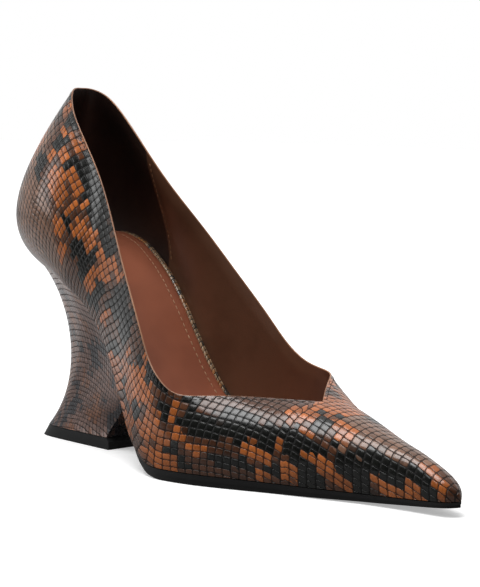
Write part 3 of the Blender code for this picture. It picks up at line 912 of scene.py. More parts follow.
@dataclass(frozen=True)
class SnakeLeather:
    """Embossed hide: rows of glossy square scales in the hide's three colours, ground, dark and tan, with a
    pale painted sheen laid over the ground in patches.

    Places and grains are in scales, but for the pores, which are on the real leather. A mix holds
    how much of the small blotches and how much of chance joins in.
    """

    name: str
    ground: Colour
    dark: Colour
    tan: Colour
    # crease is the colour of the painted shade in the grooves between scales.
    crease_shade: Colour
    # pale is the colour of the painted sheen, a painted highlight on the scales.
    pale: Colour = (146, 108, 86)
    dark_patches: tuple[Patch, ...] = ()
    tan_patches: tuple[Patch, ...] = ()
    painted_sheen_patches: tuple[Patch, ...] = ()
    patch_rim: tuple[float, float] = (1.05, 0.95)
    patch_mix: tuple[float, float] = (1.3, 0.35)
    inner_side: tuple[float, float] = (1.0, 3.0)
    heel_end: tuple[float, float] = (83.0, 86.0)
    large_blotches: Grain = Grain(0.095, 3.0, 0.62)
    small_blotches: Grain = Grain(0.27, 2.0, 0.6)
    small_shift: tuple[float, float, float] = (31.0, 17.0, 5.0)
    stray_mix: tuple[float, float] = (0.35, 0.05)
    dark_level: float = 0.54
    tan_level: float = 0.46
    level_soft: float = 0.012
    sway: Grain = Grain(0.45, 1.0)
    wander: float = 0.35
    squareness: float = 4.5
    groove_reach: tuple[float, float] = (0.80, 0.98)
    # How strongly painted shade darkens the grooves between scales.
    groove_painted_shade: float = 0.85
    groove_rough: float = 0.45
    pores: Grain = Grain(900.0, 3.0, 0.6)
    pore_shade: float = 0.5
    pore_rough: float = 0.12
    pore_depth: float = 0.05
    painted_sheen_share: float = 0.8
    darkest: float = 0.62
    shades: float = 0.50
    pillow_power: float = 3.0
    pillow_fall: float = 0.45
    tilt: float = 0.18
    scale_steps: float = 0.08
    relief: float = 0.00045
    roughness: float = 0.24
    coat: float = 0.5
    coat_roughness: float = 0.12
    ior: float = 1.40

    def nearest(self, graph: Graph, cell: Value, patches: Sequence[Patch], jag: Value) -> Value:
        """How near a scale is to the listed patches.

        Args:
            graph: The material's graph.
            cell: The scale's whole-number place.
            patches: The patches of one colour.
            jag: Raggedness added to the nearness.

        Returns:
            1 inside a patch and 0 outside every patch, with a short step between.
        """
        best = None
        for patch in patches:
            size = (1 / patch.long, 1 / patch.tall, 0.0)
            shift = (-patch.along / patch.long, -patch.down / patch.tall, 0.0)
            local = graph.vector("MULTIPLY_ADD", cell, size, shift)
            away = graph.vector("LENGTH", local, output="Value")
            best = away if best is None else best.least(away)
        return (best + jag).ease(*self.patch_rim)

    def colour(self, graph: Graph, uv: Value, cell: Value, chance: Value) -> Value:
        """The colour of each scale: free blotches, and listed ones on the outer side.

        Args:
            graph: The material's graph.
            uv: The swayed map.
            cell: The scale's whole-number place.
            chance: A random number for each scale.

        Returns:
            The scales' colour before their shades and grooves.
        """
        large = graph.noise(cell, self.large_blotches)
        small = graph.noise(graph.vector("ADD", cell, self.small_shift), self.small_blotches) - 0.5
        luck = chance - 0.5
        ragged = large + small * self.stray_mix[0] + luck * self.stray_mix[1]
        dark = ragged.ease(self.dark_level - self.level_soft, self.dark_level + self.level_soft)
        tan = ragged.ease(self.tan_level + self.level_soft, self.tan_level - self.level_soft)
        tone = rgb(*self.ground)
        if self.dark_patches:
            jag = small * self.patch_mix[0] + luck * self.patch_mix[1]
            free = graph.part(uv, 1).ease(*self.inner_side).most(graph.part(uv, 0).ease(*self.heel_end))
            dark = (dark * free).most(self.nearest(graph, cell, self.dark_patches, jag))
            tan = (tan * free).most(self.nearest(graph, cell, self.tan_patches, jag))
            # Painted sheen: the pale patches lighten the ground as a painted highlight where the glossy
            # surface catches light.
            pale = self.nearest(graph, cell, self.painted_sheen_patches, jag) * self.painted_sheen_share
            tone = graph.blend(pale, tone, rgb(*self.pale))
        return graph.blend(tan, graph.blend(dark, tone, rgb(*self.dark)), rgb(*self.tan))

    def material(self) -> bpy.types.Material:
        """Builds the leather's nodes.

        Returns:
            The material.
        """
        graph = MaterialGraph(self.name)
        uv = graph.uv()
        sway = graph.vector("SUBTRACT", graph.noise(uv, self.sway, "Color"), HALVES)
        uv = graph.vector("MULTIPLY_ADD", sway, (self.wander,) * 3, uv)
        cell = graph.vector("FLOOR", uv)
        local = graph.vector("SUBTRACT", graph.vector("FRACTION", uv), HALVES)
        across = graph.part(local, 0)
        power = self.squareness
        from_middle = (abs(across * 2.0) ** power + abs(graph.part(local, 1) * 2.0) ** power) ** (1 / power)
        groove = from_middle.ease(*self.groove_reach)
        chance = graph.node("ShaderNodeTexWhiteNoise", {"noise_dimensions": "2D"}, {0: cell})
        pore = graph.noise(graph.place(), self.pores) - 0.5

        shade = graph.grey(self.darkest + chance * self.shades + pore * self.pore_shade)
        tone = graph.blend(1.0, self.colour(graph, uv, cell, chance), shade, "MULTIPLY")
        # Painted shade: the grooves between the scales are darkened towards the crease colour.
        tone = graph.blend(groove * self.groove_painted_shade, tone, rgb(*self.crease_shade))

        pillow = 1 - from_middle ** self.pillow_power * self.pillow_fall
        height = ((pillow + across * self.tilt) * (1 - groove) + pore * self.pore_depth
                  + chance * self.scale_steps)
        rough = self.roughness + groove * self.groove_rough + pore * self.pore_rough
        return graph.finish(Base_Color=tone, Roughness=rough, Normal=graph.bump(height, self.relief),
                            Coat_Weight=(1 - groove) * self.coat, Coat_Roughness=self.coat_roughness,
                            IOR=self.ior)


@dataclass(frozen=True)
class SmoothLeather:
    """Plain dyed leather with a fine pebbled grain and a little clouding."""

    name: str
    colour: Colour
    cloud: Colour
    roughness: float
    clouds: Grain = Grain(38.0, 3.0, 0.55)
    cloud_edge: tuple[float, float] = (0.35, 0.70)
    cloud_rough: float = 0.16
    pebbles: float = 1400.0
    pebble_share: float = 0.7
    pores: Grain = Grain(2600.0, 2.0, 0.6)
    pore_share: float = 0.3
    relief: float = 0.00004
    strength: float = 0.6

    def material(self) -> bpy.types.Material:
        """Builds the leather's nodes.

        Returns:
            The material.
        """
        graph = MaterialGraph(self.name)
        place = graph.place()
        cloud = graph.noise(place, self.clouds)
        pebble = graph.node("ShaderNodeTexVoronoi", {}, {"Vector": place, "Scale": self.pebbles})
        tone = graph.blend(cloud.ease(*self.cloud_edge), rgb(*self.colour), rgb(*self.cloud))
        height = pebble * self.pebble_share + graph.noise(place, self.pores) * self.pore_share
        return graph.finish(Base_Color=tone, Roughness=self.roughness + (cloud - 0.5) * self.cloud_rough,
                            Normal=graph.bump(height, self.relief, self.strength))


@dataclass(frozen=True)
class MouldedSole:
    """Black sole and heel compound with a faint mottle."""

    name: str
    colour: Colour
    worn: Colour
    roughness: float
    mottle: Grain = Grain(260.0, 4.0, 0.6)
    mottle_edge: tuple[float, float] = (0.40, 0.75)
    mottle_rough: float = 0.2
    specks: Grain = Grain(3200.0)
    relief: float = 0.00003
    strength: float = 0.5

    def material(self) -> bpy.types.Material:
        """Builds the compound's nodes.

        Returns:
            The material.
        """
        graph = MaterialGraph(self.name)
        place = graph.place()
        mottle = graph.noise(place, self.mottle)
        speck = graph.noise(place, self.specks)
        tone = graph.blend(mottle.ease(*self.mottle_edge), rgb(*self.colour), rgb(*self.worn))
        return graph.finish(Base_Color=tone, Roughness=self.roughness + (mottle - 0.5) * self.mottle_rough,
                            Normal=graph.bump(speck, self.relief, self.strength))


@dataclass(frozen=True)
class Thread:
    """Waxed sewing thread."""

    name: str
    colour: Colour
    strands: Grain = Grain(4200.0)
    shade: float = 0.78
    roughness: float = 0.6
    relief: float = 0.00003
    strength: float = 0.5

    def material(self) -> bpy.types.Material:
        """Builds the thread's nodes.

        Returns:
            The material.
        """
        graph = MaterialGraph(self.name)
        strand = graph.noise(graph.place(), self.strands)
        shaded = rgb(*(round(part * self.shade) for part in self.colour))
        tone = graph.blend(strand, rgb(*self.colour), shaded)
        return graph.finish(Base_Color=tone, Roughness=self.roughness,
                            Normal=graph.bump(strand, self.relief, self.strength))


@dataclass(frozen=True)
class Upper:
    """The hollow upper: snake leather outside, lining inside and a thin folded edge between."""

    last: Last
    placement: Placement
    vamp_cell: float = 0.0037
    quarter_cell: float = 0.0031
    edge_cell: float = 0.0032
    inner_cell: float = 0.0025
    edge_band: float = 0.010
    band_ease: float = 0.020
    ahead_of_toe: float = 0.05
    heel_ribs: int = 10
    toe_wall: float = 0.15
    toe_wall_reach: float = 0.12
    sharp: float = 60.0
    seam_rib: int = 205
    seam_ahead: int = 2
    seam_levels: tuple[int, int] = (13, 58)
    topline_seam_drop: float = 0.0017
    topline_seam_start: int = 2
    topline_seam_levels: int = 3
    fit_reach: float = 6.0
    least_patch: float = 0.9
    edge_wall: float = 0.0007
    thinned: float = 0.0060
    lip: float = 0.0003
    rim_points: int = 7
    lining_stride: int = 3

    def ring(self) -> Array:
        """Both walls as one ring of ribs: toe, outer side, heel, inner side."""
        lateral = self.last.wall_grid(Side.LATERAL)
        medial = self.last.wall_grid(Side.MEDIAL)
        return np.concatenate([lateral, medial[-2:0:-1]])

    def side_of(self, ring: Array, side: Side) -> Array:
        """One side's part of a ring, from the toe to the heel, with both shared ribs."""
        count = len(self.last.marks())
        if side is Side.LATERAL:
            return ring[:count]
        return np.concatenate([ring[:1], ring[:count - 2:-1]])

    def normals(self, ring: Array) -> Array:
        """Outward normals: up the rib crossed with along the ring, agreed along the vamp's middle.

        Args:
            ring: Points, ribs by levels by x, y, z.

        Returns:
            Unit normals at the same places.
        """
        along = np.roll(ring, -1, axis=0) - np.roll(ring, 1, axis=0)
        normal = unit(np.cross(np.gradient(ring, axis=1), along))
        pair = np.arange(self.last.vamp_steps + 1)
        shared = unit(normal[pair, -1] + normal[-pair, -1])
        normal[pair, -1] = shared
        normal[-pair, -1] = shared
        return normal

    def cells(self, ring: Array) -> tuple[Array, Array]:
        """Maps in scales: u runs from the toe to the heel, v from the top edge down.

        v is the distance from the edge, measured square to the rows and divided by a scale's
        height, less than 0 on the outer side and more than 0 on the inner side. Behind the throat
        the rows first run straight on, so the V cuts them, and then turn to follow the topline:
        each rib's v is shifted by what the rows have left behind. Ahead of the throat u depends on
        the distance from the heel alone, so its lines cross the shoe. On the quarters u is the
        distance along the middle of the wall, and each rib adds what it leans along the rows, so
        that its scales stay square. u and v ease from one to the other.

        Args:
            ring: Points, ribs by levels by x, y, z.

        Returns:
            Map coordinates of the outer and of the inner side, ribs by levels by 2.
        """
        at = self.last.marks()
        middle = self.last.levels // 2
        walls = [self.side_of(ring, side) for side in Side]
        steps = np.mean([np.diff(walked(wall[:, middle])) for wall in walls], axis=0)
        station = np.mean([-wall[:, middle, 1] for wall in walls], axis=0)
        quarter = self.last.between(THROAT_ROW, QUARTER_ROW)
        width = self.quarter_cell * quarter + self.vamp_cell * (1 - quarter)
        along = np.concatenate([[0.0], np.cumsum(steps / width[1:])])
        ahead = station[0] + self.ahead_of_toe
        knots = np.append(station[::-1], ahead)
        values = np.append(along[::-1], (station[0] - ahead) / width[0])
        square = self.last.between(OPEN_ROW, SQUARE_ROW)[:, None]
        free = np.clip(np.arange(len(at))[::-1] / self.heel_ribs, 0, 1)[:, None]
        start = self.last.vamp_steps
        straight = 1 - self.last.between(THROAT_ROW, OPEN_ROW)[start:]
        follow = self.last.between(OPEN_ROW, FOLLOW_ROW)[start:]
        maps = []
        for wall, side in zip(walls, Side):
            rows_way = unit(np.gradient(wall, axis=0))[:, 1:]
            step = np.diff(wall, axis=1)
            slip = (step * rows_way).sum(axis=2)
            drop = np.sqrt(np.maximum((step ** 2).sum(axis=2) - slip ** 2, 0))[:, ::-1]
            down = np.cumsum(drop, axis=1)
            near = 1 - ease((down - self.edge_band) / self.band_ease)
            height = self.inner_cell + (self.edge_cell - self.inner_cell) * near
            v = np.pad(np.cumsum(drop / height, axis=1), ((0, 0), (1, 0)))[:, ::-1]
            total = v[:, 0]
            growth = np.gradient(total, at)
            held = growth[start - 2] * straight + growth[start:] * follow
            gain = np.concatenate([[0.0], np.cumsum((held[1:] + held[:-1]) / 2 * np.diff(at[start:]))])
            extra = np.concatenate([np.zeros(start), total[start] + gain - total[start:]])
            v = v + extra[:, None]
            slipped = np.pad(np.cumsum(slip, axis=1), ((0, 0), (1, 0)))
            leaned = along[:, None] + (slipped - slipped[:, middle:middle + 1]) * free / width[:, None]
            level = np.interp(-wall[..., 1], knots, values)
            u = leaned * square + level * (1 - square)
            maps.append(np.stack([u, v * side.value], axis=2))
        return maps[0], maps[1]

    def skins(self) -> list[Skin]:
        """Outer walls, linings, the rolled edge of the topline and the strip under the foot.

        Returns:
            The skins, with finishes 0 for leather, 1 for the edge, 2 for the lining and 3 for the
            lining's heel part.
        """
        ring = self.ring()
        normal = self.normals(ring)
        count = len(self.last.marks())
        steps = np.arange(count)
        near_toe = np.clip(self.toe_wall + steps / (self.toe_wall_reach * self.last.vamp_steps), 0, 1)
        open_side = steps >= self.last.vamp_steps
        reach = np.cumsum(np.linalg.norm(np.diff(ring, axis=1), axis=2)[:, ::-1], axis=1)[:, ::-1]
        reach = np.pad(reach, ((0, 0), (0, 1)))
        thin = np.concatenate([open_side, open_side[-2:0:-1]])[:, None] * (1 - ease(reach / self.thinned))
        depth = self.last.wall * np.concatenate([near_toe, near_toe[-2:0:-1]])[:, None]
        depth = depth * (1 - thin) + self.edge_wall * thin
        inner = (ring - normal * depth[..., None])[:, ::self.lining_stride]
        opening = slice(self.last.vamp_steps, len(ring) + 1 - self.last.vamp_steps)
        edge = ring[opening, -1]
        edge_normal = normal[opening, -1]
        away = unit(np.cross(np.gradient(edge, axis=0), edge_normal))
        away[0] = away[-1] = unit(away[0] + away[-1])
        turn = np.linspace(0, np.pi, self.rim_points)[None, :, None]
        half = self.edge_wall / 2
        roll = (edge[:, None] + edge_normal[:, None] * half * (np.cos(turn) - 1)
                + away[:, None] * self.lip * np.sin(turn))
        roll_uv = np.stack(np.broadcast_arrays(walked(edge)[:, None] / self.quarter_cell,
                                               np.linspace(0, 1, self.rim_points)[None]), axis=2)
        foot = np.stack([ring[:, 0], inner[:, 0]], axis=1)
        skins = [Skin(roll, roll_uv, 1), Skin(closed_rows(foot), np.zeros((len(ring) + 1, 2, 2)), 2)]
        for side, uv in zip(Side, self.cells(ring)):
            skins.append(Skin(self.side_of(ring, side), uv, 0))
            wall = self.side_of(inner, side)
            coarse = uv[:, ::self.lining_stride]
            skins.append(Skin(wall[:self.seam_rib + 1], coarse[:self.seam_rib + 1], 2))
            skins.append(Skin(wall[self.seam_rib:], coarse[self.seam_rib:], 3))
        return skins

    def patches(self, blotches: Sequence[Blotch], studio: "Studio") -> tuple[Patch, ...]:
        """Finds the scales that blotches of the photo cover.

        Near a blotch, the wall that faces the camera gives the map as a plane over the photo's
        pixels, by least squares. The plane turns the blotch's middle and half sizes into scales.

        Args:
            blotches: Blotches of one colour.
            studio: The studio, whose camera stands as the photo's did.

        Returns:
            One patch for each blotch.
        """
        ring = self.ring()
        normal = self.normals(ring)
        points = np.stack([self.placement.place(self.side_of(ring, side)) for side in Side])
        ways = np.stack([self.side_of(normal, side) for side in Side])
        scales = np.stack(self.cells(ring))
        sides = np.broadcast_to(np.arange(len(Side))[:, None, None], points.shape[:3])
        seen = ((studio.eye() - points) * ways).sum(axis=3) > 0
        pixels, scales, sides = studio.pixels(points[seen]), scales[seen], sides[seen]
        found = []
        for blotch in blotches:
            away = pixels - (blotch.x, blotch.y)
            distance = np.linalg.norm(away, axis=1)
            reach = max(self.fit_reach, min(blotch.half_wide, blotch.half_tall))
            near = (distance < reach) & (sides == sides[np.argmin(distance)])
            plane = np.linalg.lstsq(np.c_[away[near], np.ones(near.sum())], scales[near], rcond=None)[0]
            middle = plane[2] - 0.5
            half = np.hypot(plane[0] * blotch.half_wide, plane[1] * blotch.half_tall)
            found.append(Patch(*map(float, (*middle, *np.maximum(half, self.least_patch)))))
        return tuple(found)

    def topline_seam(self) -> tuple[Array, Array]:
        """The line of stitches below the topline, and the way off the leather at its points.

        Returns:
            Points along the seam and unit normals.
        """
        ring = self.ring()
        start = self.last.vamp_steps + self.topline_seam_start
        opening = slice(start, len(ring) + 1 - start)
        down = unit(ring[opening, -self.topline_seam_levels] - ring[opening, -1])
        normal = self.normals(ring)[opening, -1]
        return ring[opening, -1] + down * self.topline_seam_drop, normal

    def lining_seam(self, side: Side) -> tuple[Array, Array]:
        """The stitches beside the heel part of the lining, from the bed up, on one side.

        Args:
            side: The side of the shoe.

        Returns:
            Points along the seam and unit normals into the shoe.
        """
        ring = self.ring()
        rib = self.seam_rib - self.seam_ahead
        levels = slice(*self.seam_levels)
        normal = self.side_of(self.normals(ring), side)[rib, levels]
        return self.side_of(ring, side)[rib, levels] - normal * self.last.wall, -normal

    def build(self, leather: SnakeLeather, edge: SmoothLeather, lining: SmoothLeather,
              heel_lining: SmoothLeather) -> None:
        """Makes the upper and dresses it.

        Args:
            leather: The outer leather.
            edge: The folded edge.
            lining: The lining.
            heel_lining: The lining's heel part.
        """
        finishes = [leather.material(), edge.material(), lining.material(), heel_lining.material()]
        piece = build_piece("upper_shell", self.skins(), finishes, self.placement, self.sharp)
        deliver(piece, "snake_leather", "upper")


@dataclass(frozen=True)
class Insole:
    """The covered insole, whose edge shows as a narrow snake-leather strip beside the sock."""

    bed: Bed
    placement: Placement
    cell: float = 0.0022
    rolled_wall: float = 1.4
    roll_width: float = 0.0028
    roll_height: float = 0.0015
    roll_under: float = 0.5
    roll_steps: int = 10
    sharp: float = 75.0

    def build(self, leather: SnakeLeather) -> None:
        """Makes the insole and dresses it. Its edge is half an ellipse that rolls up beside the sock.

        Args:
            leather: The leather that covers it.
        """
        last = self.bed.last
        depth = last.wall + last.clearance
        flat = last.plan_lines(1.0, depth, self.roll_width)
        low = last.plan_lines(0.0, 0.0, last.wall * self.rolled_wall + last.clearance)
        first = max(last.rows_past_toe(*lines) for lines in (flat, low))
        dish = self.bed.ball_dish
        top = self.bed.sheet(flat[0][first:], flat[1][first:], last.bed_height, dish)
        base = self.bed.sheet(low[0][first:], low[1][first:], last.foot_height, 0.0)
        rings = []
        for turn in np.linspace(np.pi, -self.roll_under, self.roll_steps)[1:]:
            rise = self.roll_height * np.sin(turn)
            inset = self.roll_width * (1 - np.cos(turn)) / 2
            lines = [last.contour(side, last.bed_heights(side, 1.0) + rise, depth, inset)[first:]
                     for side in Side]
            sheet = self.bed.sheet(*lines, last.bed_height, dish)
            rings.append(rim(sheet) + (0.0, 0.0, rise))
        skins = self.bed.slab(top, base, rings, self.cell)
        piece = build_piece("insole_cover", skins, [leather.material()], self.placement, self.sharp)
        deliver(piece, "rand_leather", "insole")


@dataclass(frozen=True)
class Sock:
    """The sock leather on the insole, with its line of stitches."""

    bed: Bed
    placement: Placement
    rand_width: float = 0.0030
    thickness: float = 0.0012
    edge_round: float = 0.0004
    sharp: float = 75.0
    seam_inset: float = 0.0045
    seam_least_width: float = 3.2
    seam_rows_spared: int = 3
    seam_bow: float = 0.55
    seam_bow_points: int = 20

    def top(self, inset: float, height: float, first: int) -> Array:
        """The sock's grid at one inset and height above the insole."""
        last = self.bed.last
        lateral, medial = last.plan_lines(1.0, last.wall + last.clearance, inset)
        return self.bed.sheet(lateral[first:], medial[first:],
                              lambda station: last.bed_height(station) + last.clearance + height,
                              self.bed.ball_dish)

    def first_row(self) -> int:
        """The first row of the sock behind the toe."""
        last = self.bed.last
        return last.rows_past_toe(*last.plan_lines(1.0, last.wall + last.clearance, self.rand_width))

    def build(self, leather: SmoothLeather) -> None:
        """Makes the sock with a rounded edge and dresses it.

        Args:
            leather: The sock's leather.
        """
        first = self.first_row()
        top = self.top(self.rand_width + self.edge_round, self.thickness, first)
        edge = self.top(self.rand_width, self.thickness - self.edge_round, first)
        base = self.top(self.rand_width, 0.0, first)
        skins = self.bed.slab(top, base, [rim(edge)])
        piece = build_piece("sock_leather", skins, [leather.material()], self.placement, self.sharp)
        deliver(piece, "sock_leather", "sock")

    def seam(self) -> tuple[Array, Array]:
        """The line of the stitches round the sock, and the way up at each of its points.

        Returns:
            Points along the seam and unit normals.
        """
        grid = self.top(self.rand_width, self.thickness, self.first_row())
        width = np.linalg.norm(grid[:, -1] - grid[:, 0], axis=1)
        kept = np.flatnonzero(width > self.seam_inset * self.seam_least_width)[:-self.seam_rows_spared]
        grid = grid[kept]
        place = self.seam_inset / width[kept] * self.bed.across
        column = np.floor(place).astype(int)
        part = (place - column)[:, None]
        row = np.arange(len(grid))
        left, right = (grid[row, k] * (1 - part) + grid[row, k + step] * part
                       for k, step in ((column, 1), (self.bed.across - column, -1)))
        along = np.gradient(grid[:, self.bed.across // 2], axis=0)
        up = unit(np.cross(right - left, along))
        up = up * np.sign(up[:, 2:])
        back = np.linspace(0, np.pi, self.seam_bow_points)[1:-1, None]
        centre = (left[-1] + right[-1]) / 2
        arm = (left[-1] - right[-1]) / 2
        behind = unit(along[-1]) * np.linalg.norm(arm) * self.seam_bow
        arc = centre + arm * np.cos(back) + behind * np.sin(back)
        line = np.concatenate([left, arc, right[::-1]])
        ways = np.concatenate([up, np.repeat(up[-1:], len(arc), axis=0), up[::-1]])
        return line, ways


@dataclass(frozen=True)
class Stitching:
    """A row of stitches: short rounded bars laid end to end along a line on a surface."""

    placement: Placement
    length: float = 0.0021
    pitch: float = 0.0030
    width: float = 0.00050
    proud: float = 0.00022
    near: float = 0.0004
    bluntness: float = 0.5
    corners_round: int = 9
    corners_along: int = 7
    sharp: float = 80.0

    def build(self, name: str, line: Array, up: Array, thread: Thread, slot: str) -> None:
        """Lays the stitches along a line, all as one mesh.

        Each stitch is an ellipsoid with blunt ends: a grid of angle round it by angle along it.

        Args:
            name: Name of the piece.
            line: Points along the seam.
            up: Way off the surface at each point.
            thread: The thread.
            slot: The record's material slot.
        """
        run = walked(line)
        at = np.arange(self.pitch / 2, run[-1], self.pitch)
        centre = read(line, run, at)
        way = read(up, run, at)
        along = unit(read(line, run, at + self.near) - read(line, run, at - self.near))
        way = unit(way - along * (way * along).sum(axis=1, keepdims=True))
        beside = np.cross(along, way)
        turn = np.linspace(0, 2 * np.pi, self.corners_round)[None, :]
        bow = np.linspace(0, np.pi, self.corners_along)[:, None]
        girth = np.sin(bow) ** self.bluntness
        shape = np.stack(np.broadcast_arrays(np.cos(bow) * self.length / 2,
                                             girth * np.cos(turn) * self.width / 2,
                                             girth * np.sin(turn) * self.proud), axis=2)
        frames = np.stack([along, beside, way], axis=1)
        points = centre[:, None, None] + np.einsum("ijk,nkl->nijl", shape, frames)
        blank = np.zeros(points.shape[1:3] + (2,))
        skins = [Skin(stitch, blank) for stitch in points]
        piece = build_piece(name, skins, [thread.material()], self.placement, self.sharp)
        deliver(piece, slot)


@dataclass(frozen=True)
class Outsole:
    """Thin black sole under the forefoot and the arch, with a fine step in its side."""

    bed: Bed
    placement: Placement
    breast: float = 0.0880
    step: float = 0.0005
    waist_inset: float = 0.0014
    arch_pitch: float = 0.13
    point_share: float = 0.1
    points: int = 260
    sharp: float = 35.0

    def line(self, side: Side) -> Array:
        """The sole's line on one side, from the toe back to the breast."""
        last = self.bed.last
        foot = last.wall_grid(side, 2)[:, 0]
        inset = self.waist_inset * np.clip(last.bottom(-foot[:, 1], "pitch") / self.arch_pitch, 0, 1)
        return cut(last.contour(side, foot[:, 2], 0.0, inset), self.breast, self.points)[0]

    def build(self, compound: MouldedSole) -> None:
        """Makes the sole and dresses it.

        Args:
            compound: The sole's material.
        """
        last = self.bed.last
        lateral, medial = (self.line(side) for side in Side)
        top = self.bed.sheet(lateral, medial, lambda station: last.foot_height(station) - last.clearance, 0.0)
        base = self.bed.sheet(lateral, medial, last.sole_under, 0.0)
        middle = (rim(top) + rim(base)) / 2
        stepped = middle - np.sign(middle) * (self.step, 0.0, 0.0)
        inward = np.minimum(self.step, np.abs(base[..., 0]) * self.point_share)
        base[..., 0] -= np.sign(base[..., 0]) * inward
        skins = self.bed.slab(top, base, [middle, stepped])
        piece = build_piece("sole_black", skins, [compound.material()], self.placement, self.sharp)
        deliver(piece, "sole_black", "outsole")


def cut(line: Array, station: float, count: int) -> tuple[Array, Array]:
    """Cuts a line at a station and spaces each part evenly.

    Args:
        line: Points in plan from the toe to the heel.
        station: Distance of the cut from the heel.
        count: Points of each part.

    Returns:
        The part ahead of the cut and the part behind it. Both end on it.
    """
    run = walked(line)
    where = np.interp(-station, line[:, 1], run)
    return (read(line, run, np.linspace(0, where, count)),
            read(line, run, np.linspace(where, run[-1], count)))


@dataclass(frozen=True)
class HeelFoot:
    """Sizes of the heel where it meets the floor."""

    back: float = 0.0200
    length: float = 0.0448
    width: float = 0.0350
    squareness: float = 8.0

    def grid(self, bed: Bed, count: int, height: float, back_flare: float = 0.0,
             front: float = 0.0) -> Array:
        """Grid over the heel's foot: half a superellipse, square in front and rounded behind.

        Args:
            bed: Gives the number of columns.
            count: Rows from the front to the back.
            height: Height of the grid.
            back_flare: How far the back reaches out.
            front: How far the front reaches out.

        Returns:
            Points, rows by columns.
        """
        turn = np.linspace(0, np.pi / 2, count)
        power = 2 / self.squareness
        along = np.sin(turn) ** power
        across = np.clip(np.cos(turn), 0, 1) ** power
        station = self.back + self.length + front - (self.length + front + back_flare) * along
        half = np.stack([self.width / 2 * across, -station], axis=1)
        return bed.sheet(half * (-1, 1), half, lambda place: np.full_like(place, height), 0.0)


@dataclass(frozen=True)
class Wedge:
    """The covered wedge heel, waisted at its back and sides."""

    bed: Bed
    foot: HeelFoot
    placement: Placement
    breast: float = 0.0880
    tuck: float = 0.0010
    base_height: float = 0.0050
    waist_back: float = 0.0226
    waist_side: float = 0.0040
    waist_reach: float = 0.28
    rim_back: float = 0.0222
    rim_side: float = 0.0090
    rim_reach: float = 0.25
    cell: float = 0.0021
    turn: float = 52.0
    points: int = 110
    levels: int = 72
    sharp: float = 40.0

    def pull(self, count: int, side: float, back: float) -> Array:
        """How far each point round the wedge is drawn in, to the middle and to the front."""
        turn = np.linspace(0, np.pi / 2, count)[:, None]
        column = np.linspace(1, -1, self.bed.across + 1)[None]
        sideways = np.cos(turn) * column * side
        forward = -np.sin(turn) * np.ones_like(column) * back
        return rim(np.stack([sideways, forward, np.zeros_like(forward)], axis=2))

    def build(self, leather: SnakeLeather) -> None:
        """Makes the wedge and dresses it. Its side is a cubic curve from the foot to the rim.

        Args:
            leather: The leather that covers it.
        """
        last = self.bed.last
        sides = []
        for side in Side:
            foot = last.wall_grid(side, 2)[:, 0]
            line = last.contour(side, foot[:, 2], 0.0, np.full(len(foot), self.tuck))
            sides.append(cut(line, self.breast - last.clearance, self.points)[1])
        top = self.bed.sheet(*sides, lambda station: last.foot_height(station) - last.clearance, 0.0)
        base = self.foot.grid(self.bed, self.points, self.base_height + last.clearance)
        high = rim(top)
        low = rim(base)
        tall = (high[:, 2:] - low[:, 2:]) * (0, 0, 1)
        low_hand = low + self.pull(self.points, self.waist_side, self.waist_back) + tall * self.waist_reach
        high_hand = high + self.pull(self.points, self.rim_side, self.rim_back) - tall * self.rim_reach
        shares = np.linspace(1, 0, self.levels)[1:-1]
        rings = bezier(low[None], low_hand[None], high_hand[None], high[None], shares[:, None, None])
        skins = self.bed.slab(top, base, rings, self.cell, self.turn)
        piece = build_piece("wedge_cover", skins, [leather.material()], self.placement, self.sharp)
        deliver(piece, "wedge_leather", "wedge")


@dataclass(frozen=True)
class TopPiece:
    """The wear piece under the wedge."""

    bed: Bed
    foot: HeelFoot
    placement: Placement
    height: float = 0.0050
    bevel: float = 0.0016
    flare: float = 0.0040
    ledge: float = 0.0016
    points: int = 48
    sharp: float = 30.0

    def build(self, compound: MouldedSole) -> None:
        """Makes the wear piece and dresses it.

        Args:
            compound: Its material.
        """
        share = self.bevel / self.height
        top, middle, base = (self.foot.grid(self.bed, self.points, height, flare, front)
                             for height, flare, front in
                             ((self.height, 0.0, 0.0),
                              (self.height - self.bevel, self.flare * share, self.ledge),
                              (0.0, self.flare, self.ledge)))
        skins = self.bed.slab(top, base, [rim(middle)])
        piece = build_piece("heel_wear_piece", skins, [compound.material()], self.placement, self.sharp)
        deliver(piece, "heel_black", "top_piece")


@dataclass(frozen=True)
class Softbox:
    """One rectangular lamp, aimed at the shoe."""

    name: str
    place: tuple[float, float, float]
    size: float
    power: float

    def build(self, target: Sequence[float]) -> None:
        """Adds the lamp.

        Args:
            target: The point that it faces.
        """
        lamp = bpy.data.lights.new(self.name, "AREA")
        lamp.size = self.size
        lamp.energy = self.power
        back = unit(np.array(self.place) - np.array(target))
        side = unit(np.cross((0.0, 0.0, 1.0), back))
        stand(self.name, lamp, np.stack([side, np.cross(back, side), back], axis=1), self.place)


